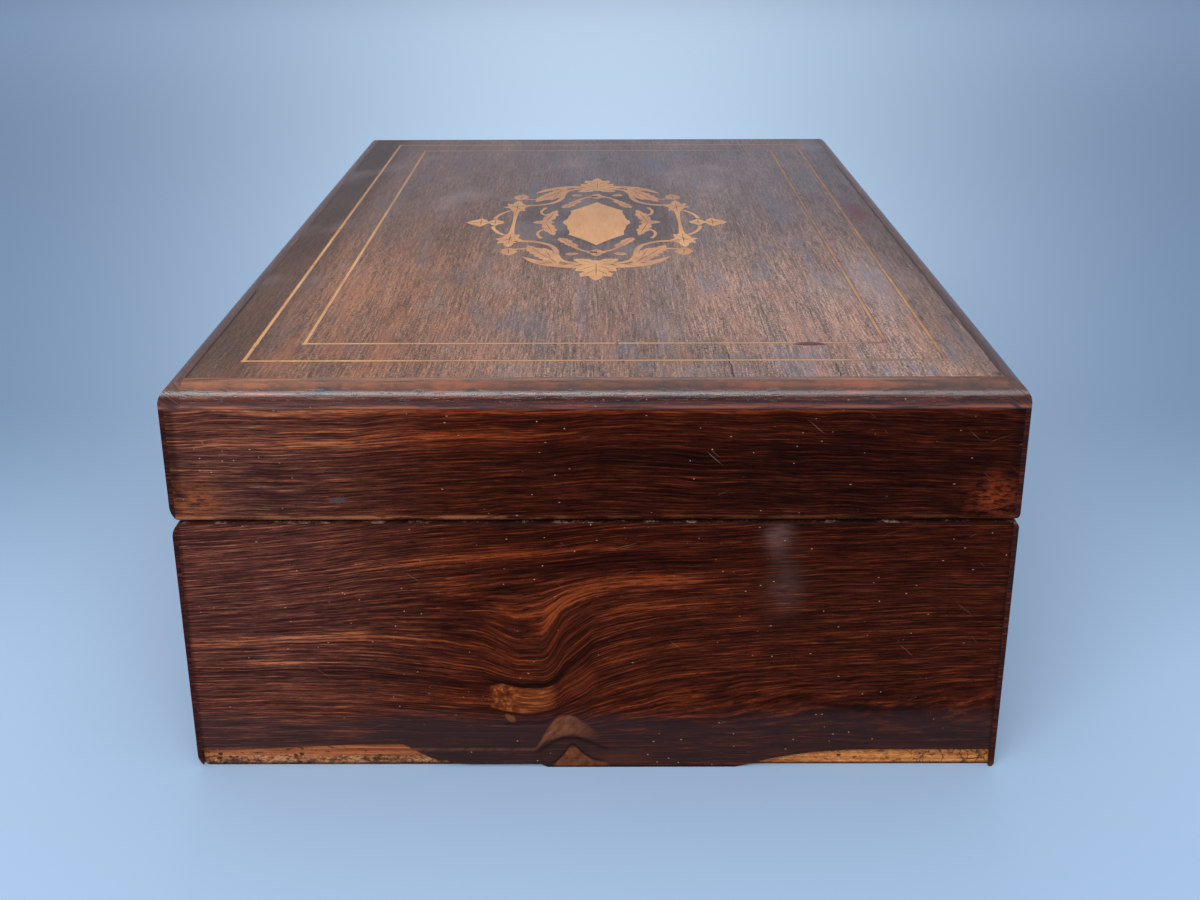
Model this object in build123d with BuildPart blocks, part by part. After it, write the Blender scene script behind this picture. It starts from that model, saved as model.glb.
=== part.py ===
from build123d import *
import os
from math import cos, radians, sin

# Marquetry jewelry box with a hinged lid, a lift-out tray and a lock.
# Millimetres. X runs along the length, Y across it with the keyhole side at -Y and the
# hinges at +Y, Z up. The origin is the middle of the underside.

# Outside of the box
box_length = 305.0
box_width = 210.0
base_height = 72.0
lid_height = 36.0
lid_gap = 0.5

# Carcass, veneers and rims
board = 9.0
bottom_thickness = 5.0
lid_board_thickness = 8.0
veneer = 1.3
top_veneer = 1.2
rim_thickness = 1.0
tail_slope = 1 / 7
tail_share = 0.55
base_tails = 3
lid_tails = 2

# Lipping round the lid's top edge
lipping_width = 5.4
lipping_height = 6.2
lipping_radius = 5.0

# Wear: how far each edge has lost its corner, inward and along the wall
use_wear_in = 1.9
use_wear_up = 3.8
foot_wear_in = 2.4
foot_wear_up = 3.6
arris_wear = 0.9
wear_roundness = 0.37

# Inlay on the lid; the unit is one square of the paper that the cartouche is drawn on
cartouche_unit = 1.0
string_width = 1.3
leaf_shoulder = 0.27
leaf_waist = 0.68
leaf_fullness = 0.86
outer_string_inset = 16.2
inner_string_inset = 28.8

# Veneer lost from the foot of the end that shows: distance from the corner, height of the edge
left_loss = ((0, 5.3), (42, 7.2), (53, 7.2), (60, 3.0), (70, 1.1), (89, 1.1), (91, 0))
right_loss = ((0, 5.4), (37, 5.4), (47, 4.6), (57, 2.8), (67, 0))

# Hinges
hinge_spread = 95.0
hinge_length = 38.0
knuckle_count = 3
knuckle_radius = 2.2
knuckle_gap = 0.15
barrel_stand_off = 0.6
barrel_clearance = 0.25
pin_radius = 0.9
pin_clearance = 0.05
leaf_thickness = 1.2
leaf_reach = 10.0
opening_angle = 100.0
stop_clearance = 0.3
stop_reach = 4.4
stop_thickness = 1.0

# Screws
screw_head_radius = 2.0
screw_head_depth = 1.1
screw_radius = 1.0
screw_length = 7.0
screw_clearance = 0.05
screw_sides = 12
hinge_screw_spread = 22.0
hinge_screw_inset = 5.8

# Lock
lock_length = 44.0
lock_drop = 25.0
lock_depth = 5.6
lock_sheet = 1.0
lock_plate_length = 62.0
lock_plate_width = 7.4
lock_plate_thickness = 1.5
link_spread = 22.0
link_thickness = 2.4
link_width = 3.4
link_drop = 8.0
link_clearance = 0.5
link_plate_length = 48.0
eye_height = 3.2
eye_wall = 0.7
eye_floor = 1.1
nose_height = 2.4
nose_width = 1.4
nose_gap = 0.4
post_width = 2.6
bolt_travel = 3.5
bolt_height = 5.0
bolt_thickness = 3.2
bolt_clearance = 0.3
talon_radius = 2.4
keyhole_radius = 2.6
keyhole_slot = 2.0
keyhole_drop = 7.0
keyhole_below_rim = 20.0
escutcheon_rim = 0.9
key_post_radius = 0.9

# Linings and cushions
wall_lining = 0.8
floor_lining = 1.6
lid_lining_thickness = 0.6
soft_clearance = 0.3
lid_pad_height = 7.0
pad_crown = 2.2
pad_draw_in = 1.2
tuft_columns = 4
tuft_rows = 3
tuft_radius = 8.0
tuft_depth = 3.6
tuft_slope = 52.0

# Tray
tray_rest_height = 38.0
tray_rest_thickness = 6.0
tray_clearance = 0.8
tray_seat_gap = 0.3
tray_height = 26.0
tray_wall = 4.0
tray_bottom_thickness = 2.5
divider_thickness = 3.0
divider_drop = 3.0
long_divider_place = 18.0
rear_divider_spread = 92.0
tray_pad_height = 3.0
tray_pad_crown = 0.9
tray_pad_draw_in = 0.6
pull_width = 9.0
pull_thickness = 0.7
pull_rise = 3.0
pull_depth = 10.0
pull_spread = 4.5

# Levels and sizes that follow
carcass_length = box_length - 2 * veneer
carcass_width = box_width - 2 * veneer
inner_length = carcass_length - 2 * board
inner_width = carcass_width - 2 * board
base_wall_top = base_height - rim_thickness
lid_low = base_height + lid_gap
lid_top = lid_low + lid_height
lid_wall_low = lid_low + rim_thickness
lid_wall_top = lid_top - top_veneer - lid_board_thickness
lipping_low = lid_top - lipping_height
top_veneer_low = lid_top - top_veneer
panel_length = box_length - 2 * lipping_width
panel_width = box_width - 2 * lipping_width
pin_y = box_width / 2 + barrel_stand_off
pin_z = base_height + lid_gap / 2
keyhole_height = base_height - keyhole_below_rim


def save(part, name):
    """Label a finished piece and write it under its own name."""
    part.part.label = name
    export_step(part.part, f"parts/{name}.step")


os.makedirs("parts", exist_ok=True)


# Wear: soft corners that cut every outside piece alike
def worn_long_edge(side, height, rise, reach_in, reach_up):
    """Round the long edge at a height, on one side; rise is +1 where the wall goes up."""
    corner = side * box_width / 2
    with BuildSketch(Plane.YZ.offset(-box_length / 2)) as lost:
        with BuildLine():
            Line((corner, height), (corner - side * reach_in, height))
            ThreePointArc(
                (corner - side * reach_in, height),
                (corner - side * wear_roundness * reach_in, height + rise * wear_roundness * reach_up),
                (corner, height + rise * reach_up),
            )
            Line((corner, height + rise * reach_up), (corner, height))
        make_face()
    extrude(lost.sketch, amount=box_length)


def worn_end_edge(end, height, rise, reach):
    """Ease the arris across one end at a height."""
    corner = end * box_length / 2
    with BuildSketch(Plane.XZ.offset(-box_width / 2)) as lost:
        with BuildLine():
            Line((corner, height), (corner - end * reach, height))
            ThreePointArc(
                (corner - end * reach, height),
                (corner - end * wear_roundness * reach, height + rise * wear_roundness * reach),
                (corner, height + rise * reach),
            )
            Line((corner, height + rise * reach), (corner, height))
        make_face()
    extrude(lost.sketch, amount=box_width)


with BuildPart() as base_wear:
    worn_long_edge(-1, base_height, -1, use_wear_in, use_wear_up)
    worn_long_edge(1, base_height, -1, arris_wear, 2 * arris_wear)
    worn_long_edge(-1, 0, 1, foot_wear_in, foot_wear_up)
    worn_long_edge(1, 0, 1, arris_wear, arris_wear)
    worn_end_edge(1, base_height, -1, arris_wear)
    worn_end_edge(-1, base_height, -1, arris_wear)

with BuildPart() as lid_wear:
    worn_long_edge(-1, lid_low, 1, use_wear_in, use_wear_up)
    worn_long_edge(1, lid_low, 1, arris_wear, 2 * arris_wear)
    worn_end_edge(1, lid_low, 1, arris_wear)
    worn_end_edge(-1, lid_low, 1, arris_wear)


# Screws: heads lie in the metal's face, shanks go on into the wood
def round_of(radius):
    """The outline that stands for a small round one, on the current plane."""
    RegularPolygon(radius, screw_sides)


def screw_profile(plane, grow, head_end, shank_length):
    """A countersunk head down to a plane, and the shank beyond it."""
    with BuildSketch(plane) as head:
        round_of(screw_head_radius + grow)
    with BuildSketch(plane.offset(head_end)) as neck:
        round_of(screw_radius + grow)
    loft([head.sketch, neck.sketch], ruled=True)
    extrude(neck.sketch, amount=shank_length)


def screw_shape(plane):
    """A countersunk wood screw whose head lies in the plane, going in along its normal."""
    screw_profile(plane, 0, screw_head_depth, screw_length - screw_head_depth)


def countersink(plane):
    """The funnel for a screw's head, and the hole for its shank through the metal."""
    screw_profile(plane, screw_clearance, screw_head_depth, lock_plate_thickness)


def pilot_hole(plane):
    """The hole in the wood for a screw's shank."""
    with BuildSketch(plane) as mouth:
        round_of(screw_radius + screw_clearance)
    extrude(mouth.sketch, amount=screw_length + screw_clearance)


def downward(x, y, z):
    return Plane((x, y, z), x_dir=(1, 0, 0), z_dir=(0, 0, -1))


def upward(x, y, z):
    return Plane((x, y, z), x_dir=(1, 0, 0), z_dir=(0, 0, 1))


hinge_places = (-hinge_spread, hinge_spread)
hinge_screw_y = pin_y - hinge_screw_inset
base_hinge_screw_planes = []
lid_hinge_screw_planes = []
for place in hinge_places:
    for side in (-1, 1):
        screw_x = place + side * hinge_screw_spread / 2
        base_hinge_screw_planes.append(downward(screw_x, hinge_screw_y, base_height))
        lid_hinge_screw_planes.append(upward(screw_x, hinge_screw_y, lid_low))


def holes(planes, shape):
    """Countersinks or pilot holes for the screws in several planes."""
    with BuildPart() as made:
        for plane in planes:
            shape(plane)
    return made


lock_wall = -(carcass_width / 2 - board)
lock_middle = lock_wall - lock_sheet - bolt_clearance - bolt_thickness / 2
plate_middle = lock_wall - lock_plate_width / 2
lock_screw_x = (lock_length + lock_plate_length) / 4
link_screw_x = (link_spread + link_thickness + link_plate_length) / 4
lock_screw_planes = [downward(side * lock_screw_x, plate_middle, base_height) for side in (-1, 1)]
link_screw_planes = [upward(side * link_screw_x, plate_middle, lid_low) for side in (-1, 1)]

base_hinge_sinks = holes(base_hinge_screw_planes, countersink)
lid_hinge_sinks = holes(lid_hinge_screw_planes, countersink)
lock_sinks = holes(lock_screw_planes, countersink)
link_sinks = holes(link_screw_planes, countersink)


# Pockets that the hardware is let into
def hinge_pockets(low, high):
    """Leaf recesses between two heights, and the groove for the barrels."""
    for place in hinge_places:
        with BuildSketch(Plane.XY.offset(low)) as recess:
            with Locations((place, pin_y - leaf_reach / 2)):
                Rectangle(hinge_length, leaf_reach)
        extrude(recess.sketch, amount=high - low)
        groove = hinge_length + 2 * barrel_clearance
        with BuildSketch(Plane.YZ.offset(place - groove / 2)) as barrel:
            with Locations((pin_y, pin_z)):
                Circle(knuckle_radius + barrel_clearance)
        extrude(barrel.sketch, amount=groove)


def keyhole(grow):
    """The keyhole's outline, upright, grown by the rim of its escutcheon."""
    with Locations((0, keyhole_height)):
        Circle(keyhole_radius + grow)
    with Locations((0, keyhole_height - keyhole_drop / 2)):
        Rectangle(keyhole_slot + 2 * grow, keyhole_drop + 2 * grow)


with BuildPart() as base_back_pockets:
    hinge_pockets(base_height - leaf_thickness, base_height)
    add(holes(base_hinge_screw_planes, pilot_hole).part)

with BuildPart() as lid_back_pockets:
    hinge_pockets(lid_low, lid_low + leaf_thickness)
    add(holes(lid_hinge_screw_planes, pilot_hole).part)

with BuildPart() as lock_pocket:
    with BuildSketch(Plane.XY.offset(base_height - lock_drop)):
        with Locations((0, lock_wall - lock_depth / 2)):
            Rectangle(lock_length, lock_depth)
    extrude(amount=lock_drop)
    with BuildSketch(Plane.XY.offset(base_height - lock_plate_thickness)):
        with Locations((0, plate_middle)):
            Rectangle(lock_plate_length, lock_plate_width)
    extrude(amount=lock_plate_thickness)
    with BuildSketch(Plane.XZ.offset(-lock_wall)):
        keyhole(0)
    extrude(amount=board)
    add(holes(lock_screw_planes, pilot_hole).part)

with BuildPart() as link_pocket:
    with BuildSketch(Plane.XY.offset(lid_low)):
        with Locations((0, plate_middle)):
            Rectangle(link_plate_length, lock_plate_width)
    extrude(amount=lock_plate_thickness)
    add(holes(link_screw_planes, pilot_hole).part)

with BuildPart() as escutcheon_pocket:
    with BuildSketch(Plane.XZ.offset(carcass_width / 2)):
        keyhole(escutcheon_rim)
    extrude(amount=veneer)


# Carcass: long boards carry the dovetails, end boards have the sockets
def tails(low, high, count):
    """Dovetails at both ends of a long board, drawn in its own upright plane."""
    pitch = (high - low) / count
    tip = pitch * tail_share / 2
    root = tip - board * tail_slope
    outer = carcass_length / 2
    inner = outer - board
    for index in range(count):
        middle = low + (index + 0.5) * pitch
        for end in (-1, 1):
            with BuildLine() as tail:
                Polyline(
                    (end * inner, middle - root),
                    (end * outer, middle - tip),
                    (end * outer, middle + tip),
                    (end * inner, middle + root),
                    close=True,
                )
            make_face(tail.edges())


def wall_plane(side):
    """The plane of a long board, from which it is extruded towards -Y."""
    return Plane.XZ.offset(carcass_width / 2 - board if side < 0 else -carcass_width / 2)


def long_board(side, low, high, count, cuts):
    with BuildPart() as made:
        with BuildSketch(wall_plane(side)):
            with Locations((0, (low + high) / 2)):
                Rectangle(carcass_length - 2 * board, high - low)
            tails(low, high, count)
        extrude(amount=board)
        for cut in cuts:
            add(cut.part, mode=Mode.SUBTRACT)
    return made


def end_board(end, low, high, count, cuts):
    with BuildPart() as made:
        with BuildSketch(Plane.XY.offset(low)):
            with Locations((end * (carcass_length - board) / 2, 0)):
                Rectangle(board, carcass_width)
        extrude(amount=high - low)
        for side in (-1, 1):
            with BuildSketch(wall_plane(side)):
                tails(low, high, count)
            extrude(amount=board, mode=Mode.SUBTRACT)
        for cut in cuts:
            add(cut.part, mode=Mode.SUBTRACT)
    return made


base_front_board = long_board(-1, bottom_thickness, base_wall_top, base_tails, [base_wear, lock_pocket])
base_back_board = long_board(1, bottom_thickness, base_wall_top, base_tails, [base_back_pockets])
base_left_board = end_board(-1, bottom_thickness, base_wall_top, base_tails, [base_wear])
base_right_board = end_board(1, bottom_thickness, base_wall_top, base_tails, [base_wear])
lid_front_board = long_board(-1, lid_wall_low, lid_wall_top, lid_tails, [lid_wear, link_pocket])
lid_back_board = long_board(1, lid_wall_low, lid_wall_top, lid_tails, [lid_back_pockets])
lid_left_board = end_board(-1, lid_wall_low, lid_wall_top, lid_tails, [lid_wear])
lid_right_board = end_board(1, lid_wall_low, lid_wall_top, lid_tails, [lid_wear])

save(base_front_board, "base_front_board")
save(base_back_board, "base_back_board")
save(base_left_board, "base_left_board")
save(base_right_board, "base_right_board")
save(lid_front_board, "lid_front_board")
save(lid_back_board, "lid_back_board")
save(lid_left_board, "lid_left_board")
save(lid_right_board, "lid_right_board")

with BuildPart() as bottom_board:
    with BuildSketch():
        Rectangle(carcass_length, carcass_width)
    extrude(amount=bottom_thickness)
    add(base_wear.part, mode=Mode.SUBTRACT)
save(bottom_board, "bottom_board")

with BuildPart() as lid_top_board:
    with BuildSketch(Plane.XY.offset(lid_wall_top)):
        Rectangle(carcass_length, carcass_width)
    extrude(amount=lipping_low - lid_wall_top)
    with BuildSketch(Plane.XY.offset(lipping_low)):
        Rectangle(panel_length, panel_width)
    extrude(amount=top_veneer_low - lipping_low)
save(lid_top_board, "lid_top_board")


# Mitred strips: the rims on the edges of the boards, and the strings in the lid
def mitred_strips(half_x, half_y, width, low, height, cuts):
    """Four strips round a rectangle, mitred at its corners, as separate solids."""
    strips = []
    corners = [(half_x, half_y), (-half_x, half_y), (-half_x, -half_y), (half_x, -half_y)]
    inner = [(x - width * x / abs(x), y - width * y / abs(y)) for x, y in corners]
    for index in range(4):
        following = (index + 1) % 4
        with BuildPart() as strip:
            with BuildSketch(Plane.XY.offset(low)):
                with BuildLine():
                    outside = (corners[index], corners[following])
                    inside = (inner[following], inner[index])
                    Polyline(*outside, *inside, close=True)
                make_face()
            extrude(amount=height)
            for cut in cuts:
                add(cut.part, mode=Mode.SUBTRACT)
        strips += strip.part.solids()
    return Compound(children=strips)


def save_group(group, name):
    """Write several solids that share one node."""
    group.label = name
    export_step(group, f"parts/{name}.step")


def rim(low, cuts):
    return mitred_strips(carcass_length / 2, carcass_width / 2, board, low, rim_thickness, cuts)


def stringing(inset):
    half_x, half_y = box_length / 2 - inset, box_width / 2 - inset
    return mitred_strips(half_x, half_y, string_width, top_veneer_low, top_veneer, [])


save_group(rim(base_wall_top, [base_wear, lock_pocket, base_back_pockets]), "base_rim")
save_group(rim(lid_low, [lid_wear, link_pocket, lid_back_pockets]), "lid_rim")
save_group(stringing(outer_string_inset), "outer_stringing")
save_group(stringing(inner_string_inset), "inner_stringing")


# Veneers: the long sides run through and cover the edges of the ends
def side_veneer(side, low, high, cuts):
    with BuildPart() as made:
        with BuildSketch(Plane.XY.offset(low)):
            with Locations((0, side * (box_width - veneer) / 2)):
                Rectangle(box_length, veneer)
        extrude(amount=high - low)
        for cut in cuts:
            add(cut.part, mode=Mode.SUBTRACT)
    return made


def end_veneer(end, low, high, cuts):
    with BuildPart() as made:
        with BuildSketch(Plane.XY.offset(low)):
            with Locations((end * (box_length - veneer) / 2, 0)):
                Rectangle(veneer, carcass_width)
        extrude(amount=high - low)
        for cut in cuts:
            add(cut.part, mode=Mode.SUBTRACT)
    return made


with BuildPart() as lost_veneer:
    with BuildSketch(Plane.YZ.offset(carcass_length / 2)):
        for side, profile in ((-1, left_loss), (1, right_loss)):
            edge = side * carcass_width / 2
            with BuildLine():
                Polyline(*[(edge - side * run, height) for run, height in profile], (edge, 0), close=True)
            make_face()
    extrude(amount=veneer)

base_front_veneer = side_veneer(-1, 0, base_height, [base_wear, escutcheon_pocket])
base_back_veneer = side_veneer(1, 0, base_height, [base_wear, base_back_pockets])
base_left_veneer = end_veneer(-1, 0, base_height, [base_wear])
base_right_veneer = end_veneer(1, 0, base_height, [base_wear, lost_veneer])
lid_front_veneer = side_veneer(-1, lid_low, lipping_low, [lid_wear])
lid_back_veneer = side_veneer(1, lid_low, lipping_low, [lid_wear, lid_back_pockets])
lid_left_veneer = end_veneer(-1, lid_low, lipping_low, [lid_wear])
lid_right_veneer = end_veneer(1, lid_low, lipping_low, [lid_wear])

save(base_front_veneer, "base_front_veneer")
save(base_back_veneer, "base_back_veneer")
save(base_left_veneer, "base_left_veneer")
save(base_right_veneer, "base_right_veneer")
save(lid_front_veneer, "lid_front_veneer")
save(lid_back_veneer, "lid_back_veneer")
save(lid_left_veneer, "lid_left_veneer")
save(lid_right_veneer, "lid_right_veneer")

with BuildPart() as escutcheon:
    with BuildSketch(Plane.XZ.offset(carcass_width / 2)):
        keyhole(escutcheon_rim)
    extrude(amount=veneer)
    with BuildSketch(Plane.XZ.offset(carcass_width / 2)):
        keyhole(0)
    extrude(amount=veneer, mode=Mode.SUBTRACT)
save(escutcheon, "escutcheon")


# Lippings: rounded solid strips, the long ones rounded at their ends too
def lipping_side(side):
    with BuildPart() as made:
        with BuildSketch(Plane.XY.offset(lipping_low)):
            with Locations((0, side * (box_width - lipping_width) / 2)):
                Rectangle(box_length, lipping_width)
        extrude(amount=lipping_height)
        upper = made.edges().group_by(Axis.Z)[-1]
        outer = upper.filter_by(Axis.X).sort_by(Axis.Y)[0 if side < 0 else -1]
        fillet([outer, *upper.filter_by(Axis.Y)], radius=lipping_radius)
    return made


def lipping_end(end):
    with BuildPart() as made:
        with BuildSketch(Plane.XY.offset(lipping_low)):
            with Locations((end * (box_length - lipping_width) / 2, 0)):
                Rectangle(lipping_width, panel_width)
        extrude(amount=lipping_height)
        upper = made.edges().group_by(Axis.Z)[-1]
        fillet(upper.filter_by(Axis.Y).sort_by(Axis.X)[0 if end < 0 else -1], radius=lipping_radius)
    return made


save(lipping_side(-1), "lipping_front")
save(lipping_side(1), "lipping_back")
save(lipping_end(-1), "lipping_left")
save(lipping_end(1), "lipping_right")


# Cartouche: every motif is drawn once, in units, at u across and v along the lid from its
# middle, and repeated on the other sides
def leaf(base, tip, width):
    """A pointed leaf between two points, with a shoulder and a waist on each side."""
    start = Vector(*base)
    along = Vector(*tip) - start
    across = Vector(-along.Y, along.X).normalized() * (leaf_fullness * width / 2)
    with BuildLine() as outline:
        Polyline(
            start,
            start + along * leaf_shoulder + across,
            start + along * leaf_waist + across,
            start + along,
            start + along * leaf_waist - across,
            start + along * leaf_shoulder - across,
            close=True,
        )
    make_face(outline.edges())


def tendril(points, width):
    """A band of even width that follows a line of points."""
    path = [Vector(*point) for point in points]
    left, right = [], []
    for index, point in enumerate(path):
        along = path[min(index + 1, len(path) - 1)] - path[max(index - 1, 0)]
        across = Vector(-along.Y, along.X).normalized() * (width / 2)
        left.append(point + across)
        right.append(point - across)
    with BuildLine() as outline:
        Polyline(*left, *reversed(right), close=True)
    make_face(outline.edges())


def turned(point, side, end):
    """A point of the motif on one side (u) and one end (v), in the lid's X and Y."""
    return (end * point[1] * cartouche_unit, side * point[0] * cartouche_unit)


def motif_leaf(base, tip, width, side, end):
    leaf(turned(base, side, end), turned(tip, side, end), width * cartouche_unit)


def motif_tendril(points, width, side, end):
    tendril([turned(point, side, end) for point in points], width * cartouche_unit)


quarters = [(side, end) for side in (-1, 1) for end in (-1, 1)]

with BuildSketch() as shield_outline:
    with BuildLine():
        for side, end in quarters:
            shoulder = turned((9.4, 16.2), side, end)
            waist = turned((10.0, 8.4), side, end)
            ear = turned((11.6, 1.6), side, end)
            ThreePointArc(turned((0, 29.2), side, end), turned((5.0, 21.6), side, end), shoulder)
            ThreePointArc(shoulder, turned((9.2, 12.2), side, end), waist)
            ThreePointArc(waist, turned((10.3, 4.4), side, end), ear)
        for side in (-1, 1):
            Line(turned((11.6, 1.6), side, -1), turned((11.6, 1.6), side, 1))
    make_face()

with BuildSketch() as palmette_outline:
    for end in (-1, 1):
        motif_leaf((0, 47.0), (0, 68.4), 6.4, 1, end)
        for side in (-1, 1):
            motif_leaf((0, 52.5), (6.3, 58.6), 3.8, side, end)
            motif_leaf((0, 56.5), (4.6, 64.4), 3.4, side, end)
            motif_leaf((0, 50.4), (6.9, 45.6), 4.0, side, end)

with BuildSketch() as bar_outline:
    for side in (-1, 1):
        inner_low, inner_high = turned((27.8, 17), side, -1), turned((27.8, 17), side, 1)
        outer_low, outer_high = turned((30.0, 17), side, -1), turned((30.0, 17), side, 1)
        with BuildLine():
            ThreePointArc(inner_low, turned((28.4, 0), side, 1), inner_high)
            Line(inner_high, outer_high)
            ThreePointArc(outer_high, turned((29.3, 0), side, 1), outer_low)
            Line(outer_low, inner_low)
        make_face()
        for end in (-1, 1):
            motif_leaf((28.9, 13.5), (29.0, 31.4), 4.4, side, end)
            motif_leaf((24.4, 23.4), (33.8, 21.4), 3.2, side, end)
            motif_leaf((25.9, 16.0), (32.8, 27.0), 2.6, side, end)
            motif_tendril([(31.2, 16.5), (33.2, 13.8), (34.9, 9.8), (35.8, 5.8)], 1.1, side, end)

with BuildSketch() as finial_outline:
    for side in (-1, 1):
        motif_leaf((37.2, 0), (45.4, 0), 6.4, side, 1)
        motif_leaf((40.4, -5.6), (40.4, 5.6), 3.4, side, 1)
        motif_leaf((32.8, 0), (38.6, 0), 3.4, side, 1)
        motif_leaf((35.4, -4.4), (35.4, 4.4), 2.8, side, 1)
    add(bar_outline.sketch, mode=Mode.SUBTRACT)

with BuildSketch() as scroll_outline:
    for side, end in quarters:
        lower_stem = [(26.5, 24.2), (20.6, 25.0), (15.4, 29.2), (13.1, 35.4)]
        upper_stem = [(12.5, 42.0), (9.6, 48.6), (2.2, 51.4)]
        motif_tendril(lower_stem + upper_stem, 1.5, side, end)
        upper_edge = [(1.5, 54.6), (8.4, 54.9), (15.6, 52.8), (20.6, 48.4), (23.6, 42.6)]
        lower_edge = [(19.2, 46.4), (14.0, 49.6), (8.0, 51.4), (1.5, 51.6)]
        with BuildLine():
            Polyline(*[turned(point, side, end) for point in upper_edge + lower_edge], close=True)
        make_face()
        motif_leaf((12.0, 50.5), (17.2, 39.0), 5.0, side, end)
        motif_leaf((14.6, 46.0), (22.6, 29.6), 4.6, side, end)
        motif_leaf((14.0, 45.0), (17.2, 32.6), 3.2, side, end)
        motif_tendril([(20.0, 34.8), (23.2, 33.5), (27.0, 34.2)], 1.1, side, end)
        motif_leaf((28.6, 32.4), (28.0, 41.2), 4.6, side, end)
    add(palmette_outline.sketch, mode=Mode.SUBTRACT)
    add(bar_outline.sketch, mode=Mode.SUBTRACT)

with BuildSketch() as sprig_outline:
    for side in (-1, 1):
        motif_leaf((14.6, 0), (22.4, 0), 3.6, side, 1)
        for end in (-1, 1):
            motif_leaf((18.2, -1.6), (14.4, 17.2), 3.4, side, end)
            motif_tendril([(16.8, 8.0), (19.3, 11.4), (19.9, 15.8), (18.7, 20.4)], 0.9, side, end)

with BuildSketch() as swag_outline:
    for end in (-1, 1):
        motif_leaf((0, 34.4), (0, 42.4), 3.4, 1, end)
        motif_leaf((-3.2, 38.2), (3.2, 38.2), 2.2, 1, end)
        for side in (-1, 1):
            motif_leaf((12.4, 20.2), (8.0, 28.6), 3.0, side, end)
            motif_leaf((10.4, 26.4), (6.0, 31.0), 2.4, side, end)
            motif_tendril([(8.8, 27.6), (7.0, 32.0), (4.2, 35.9), (0, 38.0)], 1.1, side, end)
            motif_leaf((9.8, 40.2), (5.6, 39.2), 2.2, side, end)


def inlay(outline, name):
    """Saw a motif from the boxwood sheet, as thick as the veneer it is let into."""
    with BuildPart() as made:
        with BuildSketch(Plane.XY.offset(top_veneer_low)):
            add(outline.sketch)
        extrude(amount=top_veneer)
    save(made, name)


motifs = {
    "cartouche_shield": shield_outline,
    "cartouche_palmettes": palmette_outline,
    "cartouche_bars": bar_outline,
    "cartouche_finials": finial_outline,
    "cartouche_scrolls": scroll_outline,
    "cartouche_sprigs": sprig_outline,
    "cartouche_swags": swag_outline,
}
for name, outline in motifs.items():
    inlay(outline, name)

# Top veneers: the field inside the inner string and the two bands outside it
with BuildPart() as field_veneer:
    with BuildSketch(Plane.XY.offset(top_veneer_low)):
        field_inset = inner_string_inset + string_width
        Rectangle(box_length - 2 * field_inset, box_width - 2 * field_inset)
        for outline in motifs.values():
            add(outline.sketch, mode=Mode.SUBTRACT)
    extrude(amount=top_veneer)
save(field_veneer, "field_veneer")


def frame_sketch(outer_inset, inner_inset):
    """A rectangular ring between two distances from the lid's edge."""
    Rectangle(box_length - 2 * outer_inset, box_width - 2 * outer_inset)
    Rectangle(box_length - 2 * inner_inset, box_width - 2 * inner_inset, mode=Mode.SUBTRACT)


with BuildPart() as inner_band_veneer:
    with BuildSketch(Plane.XY.offset(top_veneer_low)):
        frame_sketch(outer_string_inset + string_width, inner_string_inset)
    extrude(amount=top_veneer)
save(inner_band_veneer, "inner_band_veneer")

with BuildPart() as outer_band_veneer:
    with BuildSketch(Plane.XY.offset(top_veneer_low)):
        frame_sketch(lipping_width, outer_string_inset)
    extrude(amount=top_veneer)
save(outer_band_veneer, "outer_band_veneer")


# Hinges: interleaved knuckles on a pin, with lugs that meet when the lid is open
def knuckle_span(place, index):
    """Where one knuckle starts along X, and its length."""
    pitch = hinge_length / knuckle_count
    start = place - hinge_length / 2 + index * pitch
    return start + knuckle_gap / 2, pitch - knuckle_gap


def hinge_leaf(place, lid_side):
    """One leaf: its plate, its own knuckles and its stop lug, cleared round the others."""
    own = range(1, knuckle_count, 2) if lid_side else range(0, knuckle_count, 2)
    others = range(0, knuckle_count, 2) if lid_side else range(1, knuckle_count, 2)
    up = 1 if lid_side else -1
    plate_low = lid_low if lid_side else base_height - leaf_thickness
    stop = radians(opening_angle / 2 + stop_clearance)
    along = Vector(cos(stop), up * sin(stop))
    beside = Vector(-sin(stop), up * cos(stop)) * stop_thickness
    middle = Vector(pin_y, pin_z)
    with BuildPart() as made:
        with BuildSketch(Plane.XY.offset(plate_low)):
            with Locations((place, pin_y - leaf_reach / 2)):
                Rectangle(hinge_length, leaf_reach)
        extrude(amount=leaf_thickness)
        with BuildSketch(Plane.YZ.offset(place - hinge_length / 2)):
            with BuildLine():
                Polyline(
                    middle + along * (knuckle_radius - stop_thickness / 2),
                    middle + along * stop_reach,
                    middle + along * stop_reach + beside,
                    middle + along * (knuckle_radius - stop_thickness / 2) + beside,
                    close=True,
                )
            make_face()
        extrude(amount=hinge_length)
        for index in others:
            start, length = knuckle_span(place, index)
            with BuildSketch(Plane.YZ.offset(start - knuckle_gap)):
                with Locations((pin_y, pin_z)):
                    Circle(knuckle_radius + barrel_clearance)
            extrude(amount=length + 2 * knuckle_gap, mode=Mode.SUBTRACT)
        for index in own:
            start, length = knuckle_span(place, index)
            with BuildSketch(Plane.YZ.offset(start)):
                with Locations((pin_y, pin_z)):
                    Circle(knuckle_radius)
            extrude(amount=length)
        with BuildSketch(Plane.YZ.offset(place - hinge_length / 2)):
            with Locations((pin_y, pin_z)):
                Circle(pin_radius + pin_clearance)
        extrude(amount=hinge_length, mode=Mode.SUBTRACT)
        add(lid_hinge_sinks.part if lid_side else base_hinge_sinks.part, mode=Mode.SUBTRACT)
    return made


def hinge_pin(place):
    """The pin, as long as the barrel."""
    with BuildPart() as made:
        with BuildSketch(Plane.YZ.offset(place - hinge_length / 2)):
            with Locations((pin_y, pin_z)):
                Circle(pin_radius)
        extrude(amount=hinge_length)
    return made


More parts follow.
